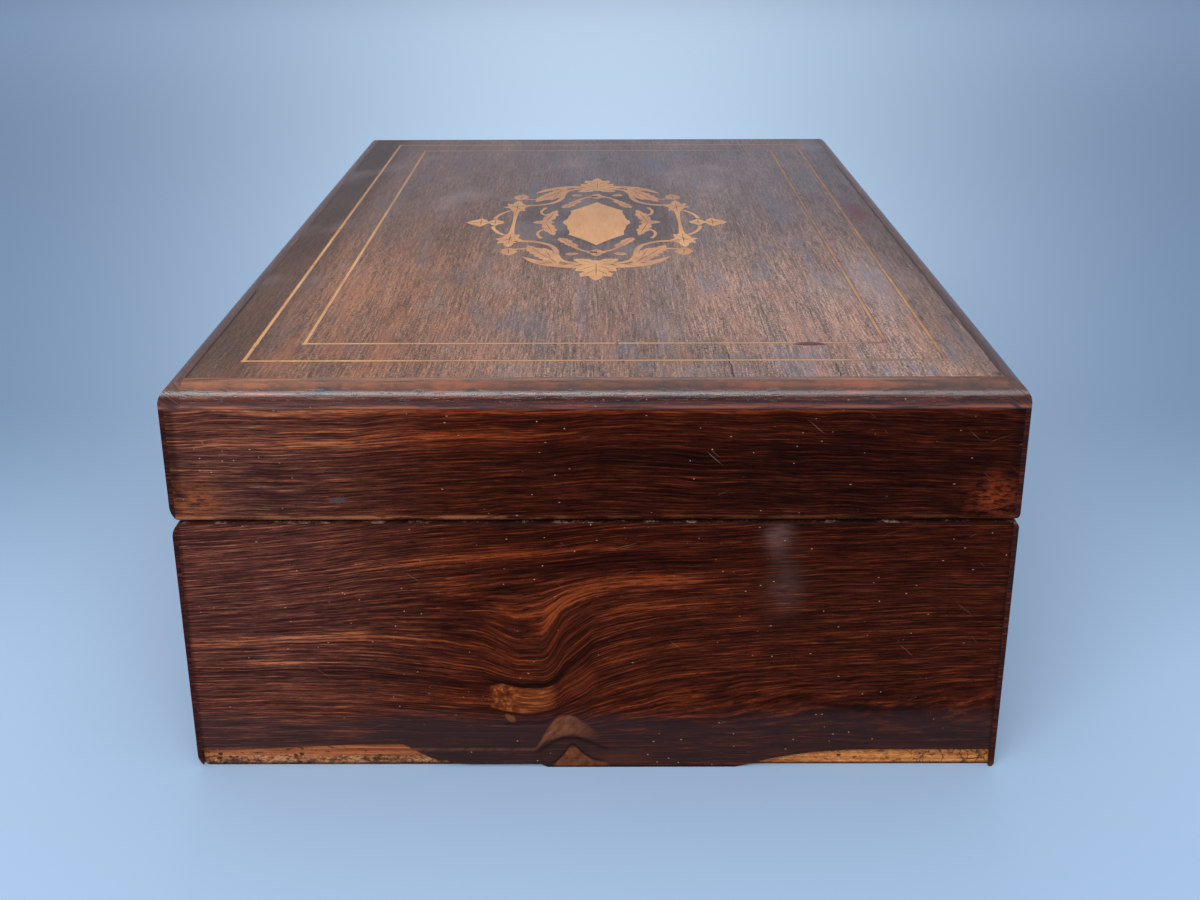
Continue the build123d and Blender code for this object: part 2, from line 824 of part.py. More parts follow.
def pair(make):
    """The same piece at both hinges, in one node."""
    solids = []
    for place in hinge_places:
        solids += make(place).part.solids()
    return Compound(children=solids)


def base_leaf(place):
    return hinge_leaf(place, False)


def lid_leaf(place):
    return hinge_leaf(place, True)


save_group(pair(base_leaf), "hinge_base_leaves")
save_group(pair(lid_leaf), "hinge_lid_leaves")
save_group(pair(hinge_pin), "hinge_pins")


def screws(planes, name):
    """Like screws, together in one node."""
    with BuildPart() as made:
        for plane in planes:
            screw_shape(plane)
    save(made, name)


screws(base_hinge_screw_planes + lock_screw_planes, "base_screws")
screws(lid_hinge_screw_planes + link_screw_planes, "lid_screws")


# Lock: a half-mortise case under a plate in the rim, with two slots for the links
link_places = (-link_spread / 2, link_spread / 2)
eye_low = lid_low - link_drop + eye_floor
nose_length = bolt_travel + bolt_clearance

with BuildPart() as lock_case:
    case_low = base_height - lock_drop
    with BuildSketch(Plane.XY.offset(case_low)):
        with Locations((0, lock_wall - lock_depth / 2)):
            Rectangle(lock_length, lock_depth)
    extrude(amount=lock_drop)
    with BuildSketch(Plane.XY.offset(case_low + lock_sheet)):
        with Locations((0, lock_wall - lock_sheet - lock_depth / 2)):
            Rectangle(lock_length - 2 * lock_sheet, lock_depth)
    extrude(amount=lock_drop - lock_sheet - lock_plate_thickness, mode=Mode.SUBTRACT)
    with BuildSketch(Plane.XY.offset(base_height - lock_plate_thickness)):
        with Locations((0, plate_middle)):
            Rectangle(lock_plate_length, lock_plate_width)
    extrude(amount=lock_plate_thickness)
    with BuildSketch(Plane.XY.offset(base_height - lock_plate_thickness)):
        for x in link_places:
            with Locations((x, lock_middle)):
                Rectangle(link_thickness + 2 * link_clearance, link_width + 2 * link_clearance)
    extrude(amount=lock_plate_thickness, mode=Mode.SUBTRACT)
    with BuildSketch(Plane.XZ.offset(-lock_wall)):
        with Locations((0, keyhole_height)):
            Circle(key_post_radius)
    extrude(amount=board - veneer)
    add(lock_sinks.part, mode=Mode.SUBTRACT)
save(lock_case, "lock_case")

with BuildPart() as lock_bolt:
    bar_top = lid_low - link_drop - 2 * bolt_clearance
    first_post = link_places[0] - link_thickness / 2 - nose_gap - nose_length - post_width
    bar_end = link_places[1] - link_thickness / 2 - nose_gap - nose_length
    with BuildSketch(Plane.XZ.offset(-lock_middle - bolt_thickness / 2)):
        with Locations(((first_post + bar_end) / 2, bar_top - bolt_height / 2)):
            Rectangle(bar_end - first_post, bolt_height)
        with Locations((0, bar_top - bolt_height)):
            Circle(talon_radius, mode=Mode.SUBTRACT)
    extrude(amount=bolt_thickness)
    for x in link_places:
        post = x - link_thickness / 2 - nose_gap - nose_length - post_width
        nose_low = eye_low + (eye_height - nose_height) / 2
        with BuildSketch(Plane.XZ.offset(-lock_middle - nose_width / 2)):
            with Locations((post + post_width / 2, (bar_top + nose_low + nose_height) / 2)):
                Rectangle(post_width, nose_low + nose_height - bar_top)
            with Locations((post + post_width + nose_length / 2, nose_low + nose_height / 2)):
                Rectangle(nose_length, nose_height)
        extrude(amount=nose_width)
save(lock_bolt, "lock_bolt")

with BuildPart() as link_plate:
    with BuildSketch(Plane.XY.offset(lid_low)):
        with Locations((0, plate_middle)):
            Rectangle(link_plate_length, lock_plate_width)
    extrude(amount=lock_plate_thickness)
    for x in link_places:
        with BuildSketch(Plane.XY.offset(lid_low - link_drop)):
            with Locations((x, lock_middle)):
                Rectangle(link_thickness, link_width)
        extrude(amount=link_drop)
        with BuildSketch(Plane.XY.offset(eye_low)):
            with Locations((x, lock_middle)):
                Rectangle(2 * link_thickness, link_width - 2 * eye_wall)
        extrude(amount=eye_height, mode=Mode.SUBTRACT)
    add(link_sinks.part, mode=Mode.SUBTRACT)
save(link_plate, "lock_link_plate")


# Linings glued to the inside of the walls
def wall_lining_ring(low, high, thickness):
    with BuildPart() as made:
        with BuildSketch(Plane.XY.offset(low)):
            Rectangle(inner_length, inner_width)
            Rectangle(inner_length - 2 * thickness, inner_width - 2 * thickness, mode=Mode.SUBTRACT)
        extrude(amount=high - low)
    return made


save(wall_lining_ring(bottom_thickness, base_wall_top, wall_lining), "base_wall_lining")
save(wall_lining_ring(lid_wall_low, lid_wall_top, lid_lining_thickness), "lid_wall_lining")

rest_outer = inner_length / 2 - wall_lining
rest_inner = rest_outer - tray_rest_thickness

with BuildPart() as floor_cloth:
    with BuildSketch(Plane.XY.offset(bottom_thickness)):
        Rectangle(2 * (rest_inner - soft_clearance), inner_width - 2 * (wall_lining + soft_clearance))
    extrude(amount=floor_lining)
save(floor_cloth, "base_floor_lining")

with BuildPart() as tray_rests:
    for end in (-1, 1):
        with BuildSketch(Plane.XY.offset(bottom_thickness)):
            with Locations((end * (rest_outer + rest_inner) / 2, 0)):
                Rectangle(tray_rest_thickness, inner_width - 2 * wall_lining)
        extrude(amount=tray_rest_height - bottom_thickness)
save(tray_rests, "tray_rests")


# Cushions: sides drawn in between the corners, and a crown
def pillow_outline(length, width, draw_in):
    """A rectangle whose four sides bow inwards."""
    x, y = length / 2, width / 2
    with BuildLine() as outline:
        ThreePointArc((-x, -y), (0, -y + draw_in), (x, -y))
        ThreePointArc((x, -y), (x - draw_in, 0), (x, y))
        ThreePointArc((x, y), (0, y - draw_in), (-x, y))
        ThreePointArc((-x, y), (-x + draw_in, 0), (-x, -y))
    make_face(outline.edges())


def cushion(middle, length, width, height, crown, draw_in, up=1):
    """A crowned pad that lies on the plane through its middle; up is -1 where it hangs."""
    outlines = []
    for level, inset in ((0, 0), (height - crown, 0), (height, 2 * crown)):
        with BuildSketch(Plane(middle + Vector(0, 0, up * level))) as outline:
            pillow_outline(length - 2 * inset, width - 2 * inset, draw_in)
        outlines.append(outline.sketch)
    loft(outlines[:2], ruled=True)
    loft(outlines[1:], ruled=True)


lid_pad_length = inner_length - 2 * (lid_lining_thickness + soft_clearance)
lid_pad_width = inner_width - 2 * (lid_lining_thickness + soft_clearance)
lid_pad_low = lid_wall_top - lid_pad_height
tuft_pitch_x = lid_pad_length / tuft_columns
tuft_pitch_y = lid_pad_width / tuft_rows

with BuildPart() as lid_pad:
    ceiling = Vector(0, 0, lid_wall_top)
    cushion(ceiling, lid_pad_length, lid_pad_width, lid_pad_height, pad_crown, pad_draw_in, up=-1)
    with BuildSketch(Plane.XY.offset(lid_pad_low)):
        with GridLocations(tuft_pitch_x, tuft_pitch_y, tuft_columns, tuft_rows):
            RegularPolygon(tuft_radius, 4)
    extrude(amount=tuft_depth, taper=tuft_slope, mode=Mode.SUBTRACT)
save(lid_pad, "lid_pad")

# Tray: four walls on a bottom, with one long divider and three short ones
tray_length = inner_length - 2 * (wall_lining + tray_clearance)
tray_width = inner_width - 2 * (wall_lining + tray_clearance)
tray_low = tray_rest_height + tray_seat_gap
tray_floor = tray_low + tray_bottom_thickness
tray_top = tray_low + tray_height
divider_top = tray_top - divider_drop
tray_inner_x = tray_length / 2 - tray_wall
tray_inner_y = tray_width / 2 - tray_wall


def upright(x, y, length, width, low, high):
    """A plain board stood between two heights."""
    with BuildPart() as made:
        with BuildSketch(Plane.XY.offset(low)):
            with Locations((x, y)):
                Rectangle(length, width)
        extrude(amount=high - low)
    return made


tray_wall_y = (tray_width - tray_wall) / 2
tray_wall_x = (tray_length - tray_wall) / 2
save(upright(0, -tray_wall_y, tray_length, tray_wall, tray_low, tray_top), "tray_front")
save(upright(0, tray_wall_y, tray_length, tray_wall, tray_low, tray_top), "tray_back")
save(upright(-tray_wall_x, 0, tray_wall, 2 * tray_inner_y, tray_low, tray_top), "tray_left")
save(upright(tray_wall_x, 0, tray_wall, 2 * tray_inner_y, tray_low, tray_top), "tray_right")
save(upright(0, 0, 2 * tray_inner_x, 2 * tray_inner_y, tray_low, tray_floor), "tray_bottom")

front_row_low = -tray_inner_y
front_row_high = long_divider_place - divider_thickness / 2
back_row_low = long_divider_place + divider_thickness / 2
back_row_high = tray_inner_y
save(
    upright(0, long_divider_place, 2 * tray_inner_x, divider_thickness, tray_floor, divider_top),
    "tray_long_divider",
)


def short_divider(x, low, high):
    """A divider across one row of the tray."""
    return upright(x, (low + high) / 2, divider_thickness, high - low, tray_floor, divider_top)


rear_divider_x = rear_divider_spread / 2
save(short_divider(0, front_row_low, front_row_high), "tray_front_divider")
with BuildPart() as back_dividers:
    for x in (-rear_divider_x, rear_divider_x):
        add(short_divider(x, back_row_low, back_row_high).part)
save(back_dividers, "tray_back_dividers")

half_divider = divider_thickness / 2
compartments = [
    (-tray_inner_x, -half_divider, front_row_low, front_row_high),
    (half_divider, tray_inner_x, front_row_low, front_row_high),
    (-tray_inner_x, -rear_divider_x - half_divider, back_row_low, back_row_high),
    (-rear_divider_x + half_divider, rear_divider_x - half_divider, back_row_low, back_row_high),
    (rear_divider_x + half_divider, tray_inner_x, back_row_low, back_row_high),
]
with BuildPart() as tray_pads:
    for x_low, x_high, y_low, y_high in compartments:
        cushion(
            Vector((x_low + x_high) / 2, (y_low + y_high) / 2, tray_floor),
            x_high - x_low - 2 * soft_clearance,
            y_high - y_low - 2 * soft_clearance,
            tray_pad_height,
            tray_pad_crown,
            tray_pad_draw_in,
        )
save(tray_pads, "tray_pads")

# Pulls: loops of ribbon glued inside the tray's ends
with BuildPart() as tray_pulls:
    for end in (-1, 1):
        outer_leg = end * (tray_inner_x - soft_clearance - pull_thickness / 2)
        inner_leg = outer_leg - end * pull_spread
        with BuildSketch(Plane.XZ.offset(-pull_width / 2)):
            with BuildLine():
                Line((outer_leg, tray_top - pull_depth), (outer_leg, tray_top))
                ThreePointArc(
                    (outer_leg, tray_top),
                    ((outer_leg + inner_leg) / 2, tray_top + pull_rise - pull_thickness / 2),
                    (inner_leg, tray_top),
                )
                Line((inner_leg, tray_top), (inner_leg, tray_top - pull_depth))
            trace(line_width=pull_thickness)
        extrude(amount=pull_width)
save(tray_pulls, "tray_pulls")
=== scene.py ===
from functools import reduce
from math import cos, hypot, pi, radians, sin
from operator import add

import bmesh
import bpy
from mathutils import Matrix, Vector


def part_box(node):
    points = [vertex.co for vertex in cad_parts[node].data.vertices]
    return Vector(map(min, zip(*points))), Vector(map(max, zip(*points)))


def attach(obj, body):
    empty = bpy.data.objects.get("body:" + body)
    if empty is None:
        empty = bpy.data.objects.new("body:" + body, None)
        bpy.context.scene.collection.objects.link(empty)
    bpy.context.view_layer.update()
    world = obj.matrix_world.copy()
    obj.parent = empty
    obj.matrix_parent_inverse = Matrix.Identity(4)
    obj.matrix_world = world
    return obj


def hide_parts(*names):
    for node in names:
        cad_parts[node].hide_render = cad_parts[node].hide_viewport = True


# The marquetry jewelry box as it looks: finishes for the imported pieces, padded satin, finer
# inlay and screws in place of the plain solids, the table, the lamps and the camera.
# Lengths are metres in the scene, and millimetres in the finishes and in this file's numbers.
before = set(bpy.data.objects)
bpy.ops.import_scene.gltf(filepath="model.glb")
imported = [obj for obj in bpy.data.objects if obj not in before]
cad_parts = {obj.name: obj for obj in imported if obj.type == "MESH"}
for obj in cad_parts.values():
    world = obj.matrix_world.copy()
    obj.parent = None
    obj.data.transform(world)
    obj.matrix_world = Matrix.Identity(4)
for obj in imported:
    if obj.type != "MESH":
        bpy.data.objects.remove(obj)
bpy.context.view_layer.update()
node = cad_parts
MM = 0.001
both = (-1, 1)

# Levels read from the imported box, in millimetres
lid_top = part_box("field_veneer")[1].z / MM
inlay_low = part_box("field_veneer")[0].z / MM
base_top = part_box("base_right_veneer")[1].z / MM
lid_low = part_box("lid_rim")[0].z / MM
joint_middle = (base_top + lid_low) / 2


# Colours and the shader's arithmetic
def colour(red, green, blue):
    """A colour as it looks, 0 to 255, in the linear values that a shader takes."""
    shares = [value / 255 for value in (red, green, blue)]
    linear = [s / 12.92 if s <= 0.04045 else ((s + 0.055) / 1.055) ** 2.4 for s in shares]
    return (*linear, 1.0)


class Varying:
    """A value that varies over a surface. Arithmetic on it adds nodes."""

    def __init__(self, finish, socket):
        self.finish = finish
        self.socket = socket

    def __add__(self, other):
        return self.finish.math("ADD", self, other)

    def __sub__(self, other):
        return self.finish.math("SUBTRACT", self, other)

    def __rsub__(self, other):
        return self.finish.math("SUBTRACT", other, self)

    def __mul__(self, other):
        return self.finish.math("MULTIPLY", self, other)

    def __truediv__(self, other):
        return self.finish.math("DIVIDE", self, other)

    def __neg__(self):
        return self * -1.0

    def __abs__(self):
        return self.finish.math("ABSOLUTE", self)

    __radd__ = __add__
    __rmul__ = __mul__

    def highest(self, other):
        return self.finish.math("MAXIMUM", self, other)

    def lowest(self, other):
        return self.finish.math("MINIMUM", self, other)

    def step(self, start, end):
        """0 at start and 1 at end, easing in between."""
        ends = {0: self, 1: min(start, end), 2: max(start, end)}
        if start > end:
            ends.update({3: 1.0, 4: 0.0})
        return self.finish.node("MapRange", {"interpolation_type": "SMOOTHSTEP"}, ends)

    def band(self, middle, width):
        """1 in the middle of a band, falling off softly over its width."""
        away = (self - middle) / width
        return self.finish.math("EXPONENT", -(away * away))

    def between(self, low, high, soft):
        """1 between two values, with soft ends."""
        return self.step(low - soft, low + soft) * self.step(high + soft, high - soft)

    def through(self, *points):
        """A smooth line through points of place and height."""
        low, high = points[0][0], points[-1][0]
        heights = [height for place, height in points]
        floor, rise = min(heights), max(heights) - min(heights)
        stops = []
        for place, height in points:
            grey = (height - floor) / rise
            stops.append(((place - low) / (high - low), (grey, grey, grey, 1.0)))
        settings = {"stops": stops, "curve": "CARDINAL"}
        ramp = self.finish.node("ValToRGB", settings, {"Fac": (self - low) / (high - low)})
        return self.finish.node("SeparateColor", {}, {0: ramp}) * rise + floor


class Finish:
    """A material in the making. Its face names the axes along and across the grain, then depth."""

    def __init__(self, name, face="xyz"):
        self.material = bpy.data.materials.new(name)
        self.material.use_nodes = True
        self.tree = self.material.node_tree
        self.shader = self.tree.nodes["Principled BSDF"]
        self.tone = None
        place = self.node("TexCoord", out="Object")
        settings, sockets = {"operation": "SCALE"}, {0: place, "Scale": 1 / MM}
        spot = self.node("VectorMath", settings, sockets, "Vector")
        self.x, self.y, self.z = [self.node("SeparateXYZ", {}, {0: spot}, axis) for axis in "XYZ"]
        self.along, self.across, self.depth = [getattr(self, axis) for axis in face]

    def node(self, kind, settings=None, sockets=None, out=0):
        """Add a node, set it, feed its sockets, and give one of its outputs."""
        made = self.tree.nodes.new("ShaderNode" + kind)
        for name, value in (settings or {}).items():
            if name == "stops":
                self.fill_ramp(made.color_ramp, value)
            elif name == "curve":
                made.color_ramp.interpolation = value
            else:
                setattr(made, name, value)
        for key, value in (sockets or {}).items():
            if isinstance(value, Varying):
                self.tree.links.new(value.socket, made.inputs[key])
            else:
                made.inputs[key].default_value = value
        return Varying(self, made.outputs[out])

    def fill_ramp(self, ramp, stops):
        while len(ramp.elements) < len(stops):
            ramp.elements.new(0.5)
        for element, (place, shade) in zip(ramp.elements, stops):
            element.position = place
            element.color = shade

    def math(self, operation, *values):
        return self.node("Math", {"operation": operation}, dict(enumerate(values)))

    def spot(self, middle, size, along=None, across=None):
        """A soft patch round a point of the face, with a size in each direction."""
        along, across = along or self.along, across or self.across
        return along.band(middle[0], size[0]) * across.band(middle[1], size[1])

    def point(self, along, across, depth):
        return self.node("CombineXYZ", {}, {0: along, 1: across, 2: depth}, "Vector")

    def noise(self, along, across, depth=0.0, detail=3.0, roughness=0.5, warp=0.0):
        """Cloudy noise round 0.5. Plain numbers scale the face's own directions."""
        along = along if isinstance(along, Varying) else self.along * along
        across = across if isinstance(across, Varying) else self.across * across
        sockets = {"Vector": self.point(along, across, depth), "Scale": 1.0, "Detail": detail}
        sockets.update({"Roughness": roughness, "Distortion": warp})
        return self.node("TexNoise", {}, sockets)

    def cells(self, length, width, depth):
        """Distance to the nearest of many points, scattered a length and a width apart."""
        place = self.point(self.along / length, self.across / width, depth)
        return self.node("TexVoronoi", {}, {"Vector": place, "Scale": 1.0}, "Distance")

    def mix(self, first, second, share):
        """Two colours mixed by a share. A plain triple is a colour as it looks."""
        shades = [colour(*tone) if isinstance(tone, tuple) else tone for tone in (first, second)]
        sockets = {0: share, 6: shades[0], 7: shades[1]}
        return self.node("Mix", {"data_type": "RGBA"}, sockets, 2)

    def ramp(self, value, *stops):
        """A colour from a value, through stops of place and colour as it looks."""
        shades = [(place, colour(*shade)) for place, shade in stops]
        return self.node("ValToRGB", {"stops": shades}, {"Fac": value}, "Color")

    def lay(self, shade, share):
        """Lay a colour over what is there already."""
        self.tone = self.mix(self.tone, shade, share)

    def tint(self, factors, share):
        """Multiply the tone by factors for red, green and blue."""
        settings = {"data_type": "RGBA", "blend_type": "MULTIPLY"}
        self.tone = self.node("Mix", settings, {0: share, 6: self.tone, 7: (*factors, 1.0)}, 2)

    def feed(self, socket, value):
        if isinstance(value, Varying):
            self.tree.links.new(value.socket, self.shader.inputs[socket])
        else:
            self.shader.inputs[socket].default_value = value

    def close(self, roughness, height=None, **constants):
        """Join the tone, the roughness and a height in millimetres to the shader."""
        self.feed("Base Color", self.tone)
        self.feed("Roughness", roughness)
        if height is not None:
            sockets = {"Height": height, "Distance": MM, "Strength": 1.0}
            self.feed("Normal", self.node("Bump", {}, sockets, "Normal"))
        for name, value in constants.items():
            self.feed(name.replace("_", " "), value)
        return self


# Rosewood: brown and black lines, orange streaks, open pores, worn french polish
def rosewood_lines(wood, across, seed):
    """The lightness of the grain from 0 to 1, and its pores."""
    broad = wood.noise(0.006, across * 0.09, seed, 2.0)
    streaks = wood.noise(0.014, across * 0.40, seed + 7, 4.0, 0.6)
    lines = wood.noise(0.022, across * 1.4, seed + 13, 4.0, 0.65)
    hairs = wood.noise(0.07, across * 2.2, seed + 21, 4.0, 0.75)
    light = broad * 0.22 + streaks * 0.48 + lines * 0.70 + hairs * 2.2 - 1.30
    pores = wood.noise(0.25, across * 3.4, seed + 31, 2.0).step(0.58, 0.66)
    return light, pores


def rosewood_tone(wood, light, pores):
    wood.tone = wood.ramp(
        light, (0.05, (24, 7, 3)), (0.30, (44, 14, 6)), (0.50, (65, 24, 12)),
        (0.68, (92, 36, 17)), (0.95, (150, 66, 28)),
    )
    wood.lay((24, 8, 5), pores * 0.65)


def chips(wood, seed, share=0.8):
    """Tiny pale chips in the polish."""
    clusters = wood.noise(0.03, 0.05, seed, 1.0).step(0.40, 0.60)
    small = wood.cells(3.4, 2.6, seed).step(0.066, 0.036)
    flecks = wood.cells(7.0, 3.0, seed + 2).step(0.05, 0.03)
    large = wood.cells(27, 17, seed + 5).step(0.016, 0.011)
    wood.lay((196, 150, 122), (small * clusters).highest(flecks * 0.7) * share)
    wood.lay((222, 206, 196), large * share)


def scratches(wood, seed, share):
    """Fine pale scratches that run in all directions."""
    along, across = wood.along, wood.across
    wander = wood.noise(0.05, 0.05, seed, 2.0) * 9.0
    falling, rising = (across - along * 0.4) * 1.9 + wander, (across + along * 0.9) * 1.4 + wander
    first = wood.noise(along * 0.03 + across * 0.11, falling, seed + 3)
    second = wood.noise(0.08, rising, seed + 9)
    wood.lay((176, 140, 118), first.step(0.72, 0.75).highest(second.step(0.73, 0.76)) * share)


def streaked(wood, *rows):
    """Streaks in the grain: across what, their middle, their size, and how much lighter."""
    spots = [wood.spot(middle, size, across=line) * light for line, middle, size, light in rows]
    return total(spots)


def total(parts):
    return reduce(add, parts)


def knot_lines(wood):
    """Where the grain line through a point of the base's end starts at the left edge."""
    y, z = wood.y, wood.z
    above, near = z.step(28, 60), z.step(5, 30)
    even = y.through((-106, 0), (-60, 4.6), (-6, 10), (38, 13.2), (70, 14.6), (106, 15))
    round_knot = y.through(
        (-106, 0.0), (-60, 0.2), (-39, -2.3), (-28, -4.0), (-20, -6.6), (-12.5, -6.2),
        (-8.5, -1.7), (-1, 4.4), (16, 9.6), (38, 11.8), (106, 15.0),
    )
    bend = even * above + round_knot * (1.0 - above)
    return z - bend * near + wood.noise(0.03, 0.04, 3.0, 2.0) * 1.6 - 0.8


def make_base_end():
    """The end of the base that shows, with its knot and scuff."""
    wood = Finish("rosewood_base_end", "yzx")
    y, z = wood.y, wood.z
    start = knot_lines(wood)
    light, pores = rosewood_lines(wood, start, 2.0)
    streaks = streaked(
        wood,
        (start, (-74, 38.4), (34, 1.3), 0.22),
        (start, (-28, 54.5), (30, 1.6), 0.30),
        (start, (-6, 43.6), (16, 2.4), 0.26),
        (start, (14, 44.0), (13, 1.7), 0.34),
        (start, (20, 37.0), (14, 1.3), 0.26),
        (start, (-82, 31.4), (9, 0.9), 0.30),
        (start, (-62, 28.6), (38, 1.4), -0.24),
        (start, (4, 49.5), (24, 1.8), -0.25),
        (start, (-14, 31.2), (12, 1.0), -0.30),
    )
    rosewood_tone(wood, light + streaks, pores)
    # paler and mauve to the left as painted light and sheen, darker along the joint, darker and
    # cooler to the right as painted shade, bluish grey along the foot
    wood.tint((1.75, 2.9, 4.9), y.step(-26, -88))
    wood.tint((0.72, 0.66, 0.68), z.step(52, 62) * y.step(-42, -6))
    wood.tint((0.80, 0.82, 0.92), y.step(10, 80))
    wood.tint((0.80, 0.84, 0.94), z.step(16, 30))
    low = (z + wood.noise(0.03, 0.1, 4.0) * 8.0).step(24, 17)
    wood.lay((46, 35, 36), low * (0.66 + y.step(-6, -22) * y.step(-70, -50) * 0.14))
    seams = draw_knot(wood, light)
    wood.lay((22, 11, 10), seams)
    # the scuff at the right, then wear along the joint and the sides, a dark band under the joint
    # that is painted shade on the rounded arris with some dirt, and painted contact shadow along
    # the foot
    rubbed = wood.noise(0.25, 1.4, 6.0)
    cloudy = wood.noise(0.12, 0.14, 7.0, 3.0)
    drift = y + (cloudy - 0.5) * 7.0
    fade = wood.spot((46.0, 68), (2.8, 5.0), drift) * 0.36
    fade = fade + wood.spot((48.0, 54), (4.0, 7.0), drift) * 0.20
    wood.lay((150, 118, 108), fade * (rubbed + cloudy * 0.5 - 0.25))
    chips(wood, 11.0)
    scratches(wood, 15.0, 0.16)
    bare = wood.noise(0.10, 0.5, 9.0, 4.0, 0.7).step(0.44, 0.60)
    flecks = wood.noise(0.22, 0.8, 10.0, 5.0, 0.8).step(0.48, 0.62)
    # painted shade on the rounded arris under the lid, with some dirt
    wood.lay((24, 11, 9), z.step(71.2, 71.6) * 0.7)
    wood.lay((176, 136, 118), z.step(71.6, 71.75) * bare * flecks * 0.40)
    # painted contact shadow along the foot
    wood.lay((22, 12, 11), z.step(0.8, 0.2) * 0.8)
    wood.lay((26, 10, 8), abs(y).step(102.6, 103.4) * 0.45)
    gloss = 0.36 + wood.noise(0.03, 0.06, 17.0) * 0.22
    return wood.close(gloss, light * 0.03 - pores * 0.03, Specular_IOR_Level=0.02)


def draw_knot(wood, light):
    """Lay the knot's parts: a curly patch under bowed lines, a smooth red heart, an arch and a
    foot. Gives the dark seams between them."""
    y, z = wood.y, wood.z
    curl = wood.noise(0.55, 0.6, 5.0, 4.0, 0.6)
    wavy = curl * 2.4 - 1.2
    roof = y.through(
        (-36, 26.2), (-28, 25.4), (-24, 25.8), (-20, 24.6), (-14, 24.4), (-10, 26.4), (-6, 31),
        (0, 33),
    )
    sole = y.through((-36, 18.2), (-28, 18.4), (-22, 17), (-16, 16.5), (-10, 18.2), (-4, 19.4))
    combed = wood.noise(y * 0.12, (z - roof) * 1.2, 8.0, 4.0, 0.6)
    curly = combed + (curl - combed) * y.step(-18, -23)
    shades = wood.ramp(curly, (0.32, (58, 24, 12)), (0.50, (106, 48, 22)), (0.66, (168, 92, 44)))
    patch = (z - sole - wavy * 0.4).step(-0.5, 0.6) * (z - roof).step(0.2, -0.5)
    wood.lay(shades, patch * (y + wavy).between(-26.5, -11, 1.6) * 0.92)
    spur = wood.spot((-13.2, 15.2), (1.3, 1.6), y + z * 0.6 + wavy * 0.4).step(0.3, 0.7)
    wood.lay((112, 66, 42), spur * 0.8)
    heart = wood.spot((-5.2, 26.8), (5.4, 4.4)) * (z - roof).step(0.6, -1.2)
    shades = wood.ramp(light, (0.2, (44, 15, 8)), (0.5, (80, 31, 16)), (0.8, (126, 54, 28)))
    wood.lay(shades, heart.step(0.15, 0.65) * 0.85)
    arch_low = y.through((-16, 5), (-13.5, 7.6), (-10, 8.8), (-7, 9.8), (-3, 9), (4, 7))
    arch_top = y.through(
        (-16, 6), (-13.5, 10.5), (-11, 14.6), (-8, 16.2), (-4.5, 15), (0, 11.5), (4, 9)
    )
    arch = (z - arch_low).step(-0.3, 0.9) * (z - arch_top).step(0.4, -0.9)
    ripples = wood.noise((y - z) * 0.5, (y + z) * 0.16, 9.0, 4.0, 0.6)
    shades = wood.ramp(ripples, (0.34, (84, 46, 32)), (0.62, (120, 72, 50)))
    wood.lay(shades, arch * y.step(2, -8) * 0.85)
    foot_top = y.through(
        (-14, 0.6), (-10.5, 1.6), (-8, 4.6), (-6.3, 6.7), (-4, 4.8), (-1, 2.4), (5, 1.4)
    )
    foot = (z - foot_top).step(0.3, -0.5) * y.between(-11, 3, 1.0)
    wood.lay(wood.ramp(curl, (0.34, (80, 42, 26)), (0.62, (116, 66, 42))), foot * 0.9)
    wood.lay((80, 46, 32), wood.spot((6, 2.8), (8, 1.8)) * 0.6)
    second = y.through((-27, 13), (-20, 13.9), (-14, 13.9), (-11, 15.4), (-7, 17.2))
    under = y.through((-16, 4.6), (-12, 7.2), (-8, 9.2), (-4, 8.6), (3, 6.0))
    seams = (
        (z - roof - 0.2, 0.5, (-29, -7, 3.0), 0.85),
        (z - sole + 0.3, 0.55, (-33, -7, 4.0), 0.7),
        (z - second, 0.5, (-24, -8, 2.0), 0.5),
        (z - under, 0.6, (-15, 3, 2.0), 0.6),
        (z - foot_top - 0.4, 0.45, (-12, 2, 2.0), 0.6),
    )
    lines = [gap.band(0, width) * y.between(*span) * dark for gap, width, span, dark in seams]
    return total(lines)


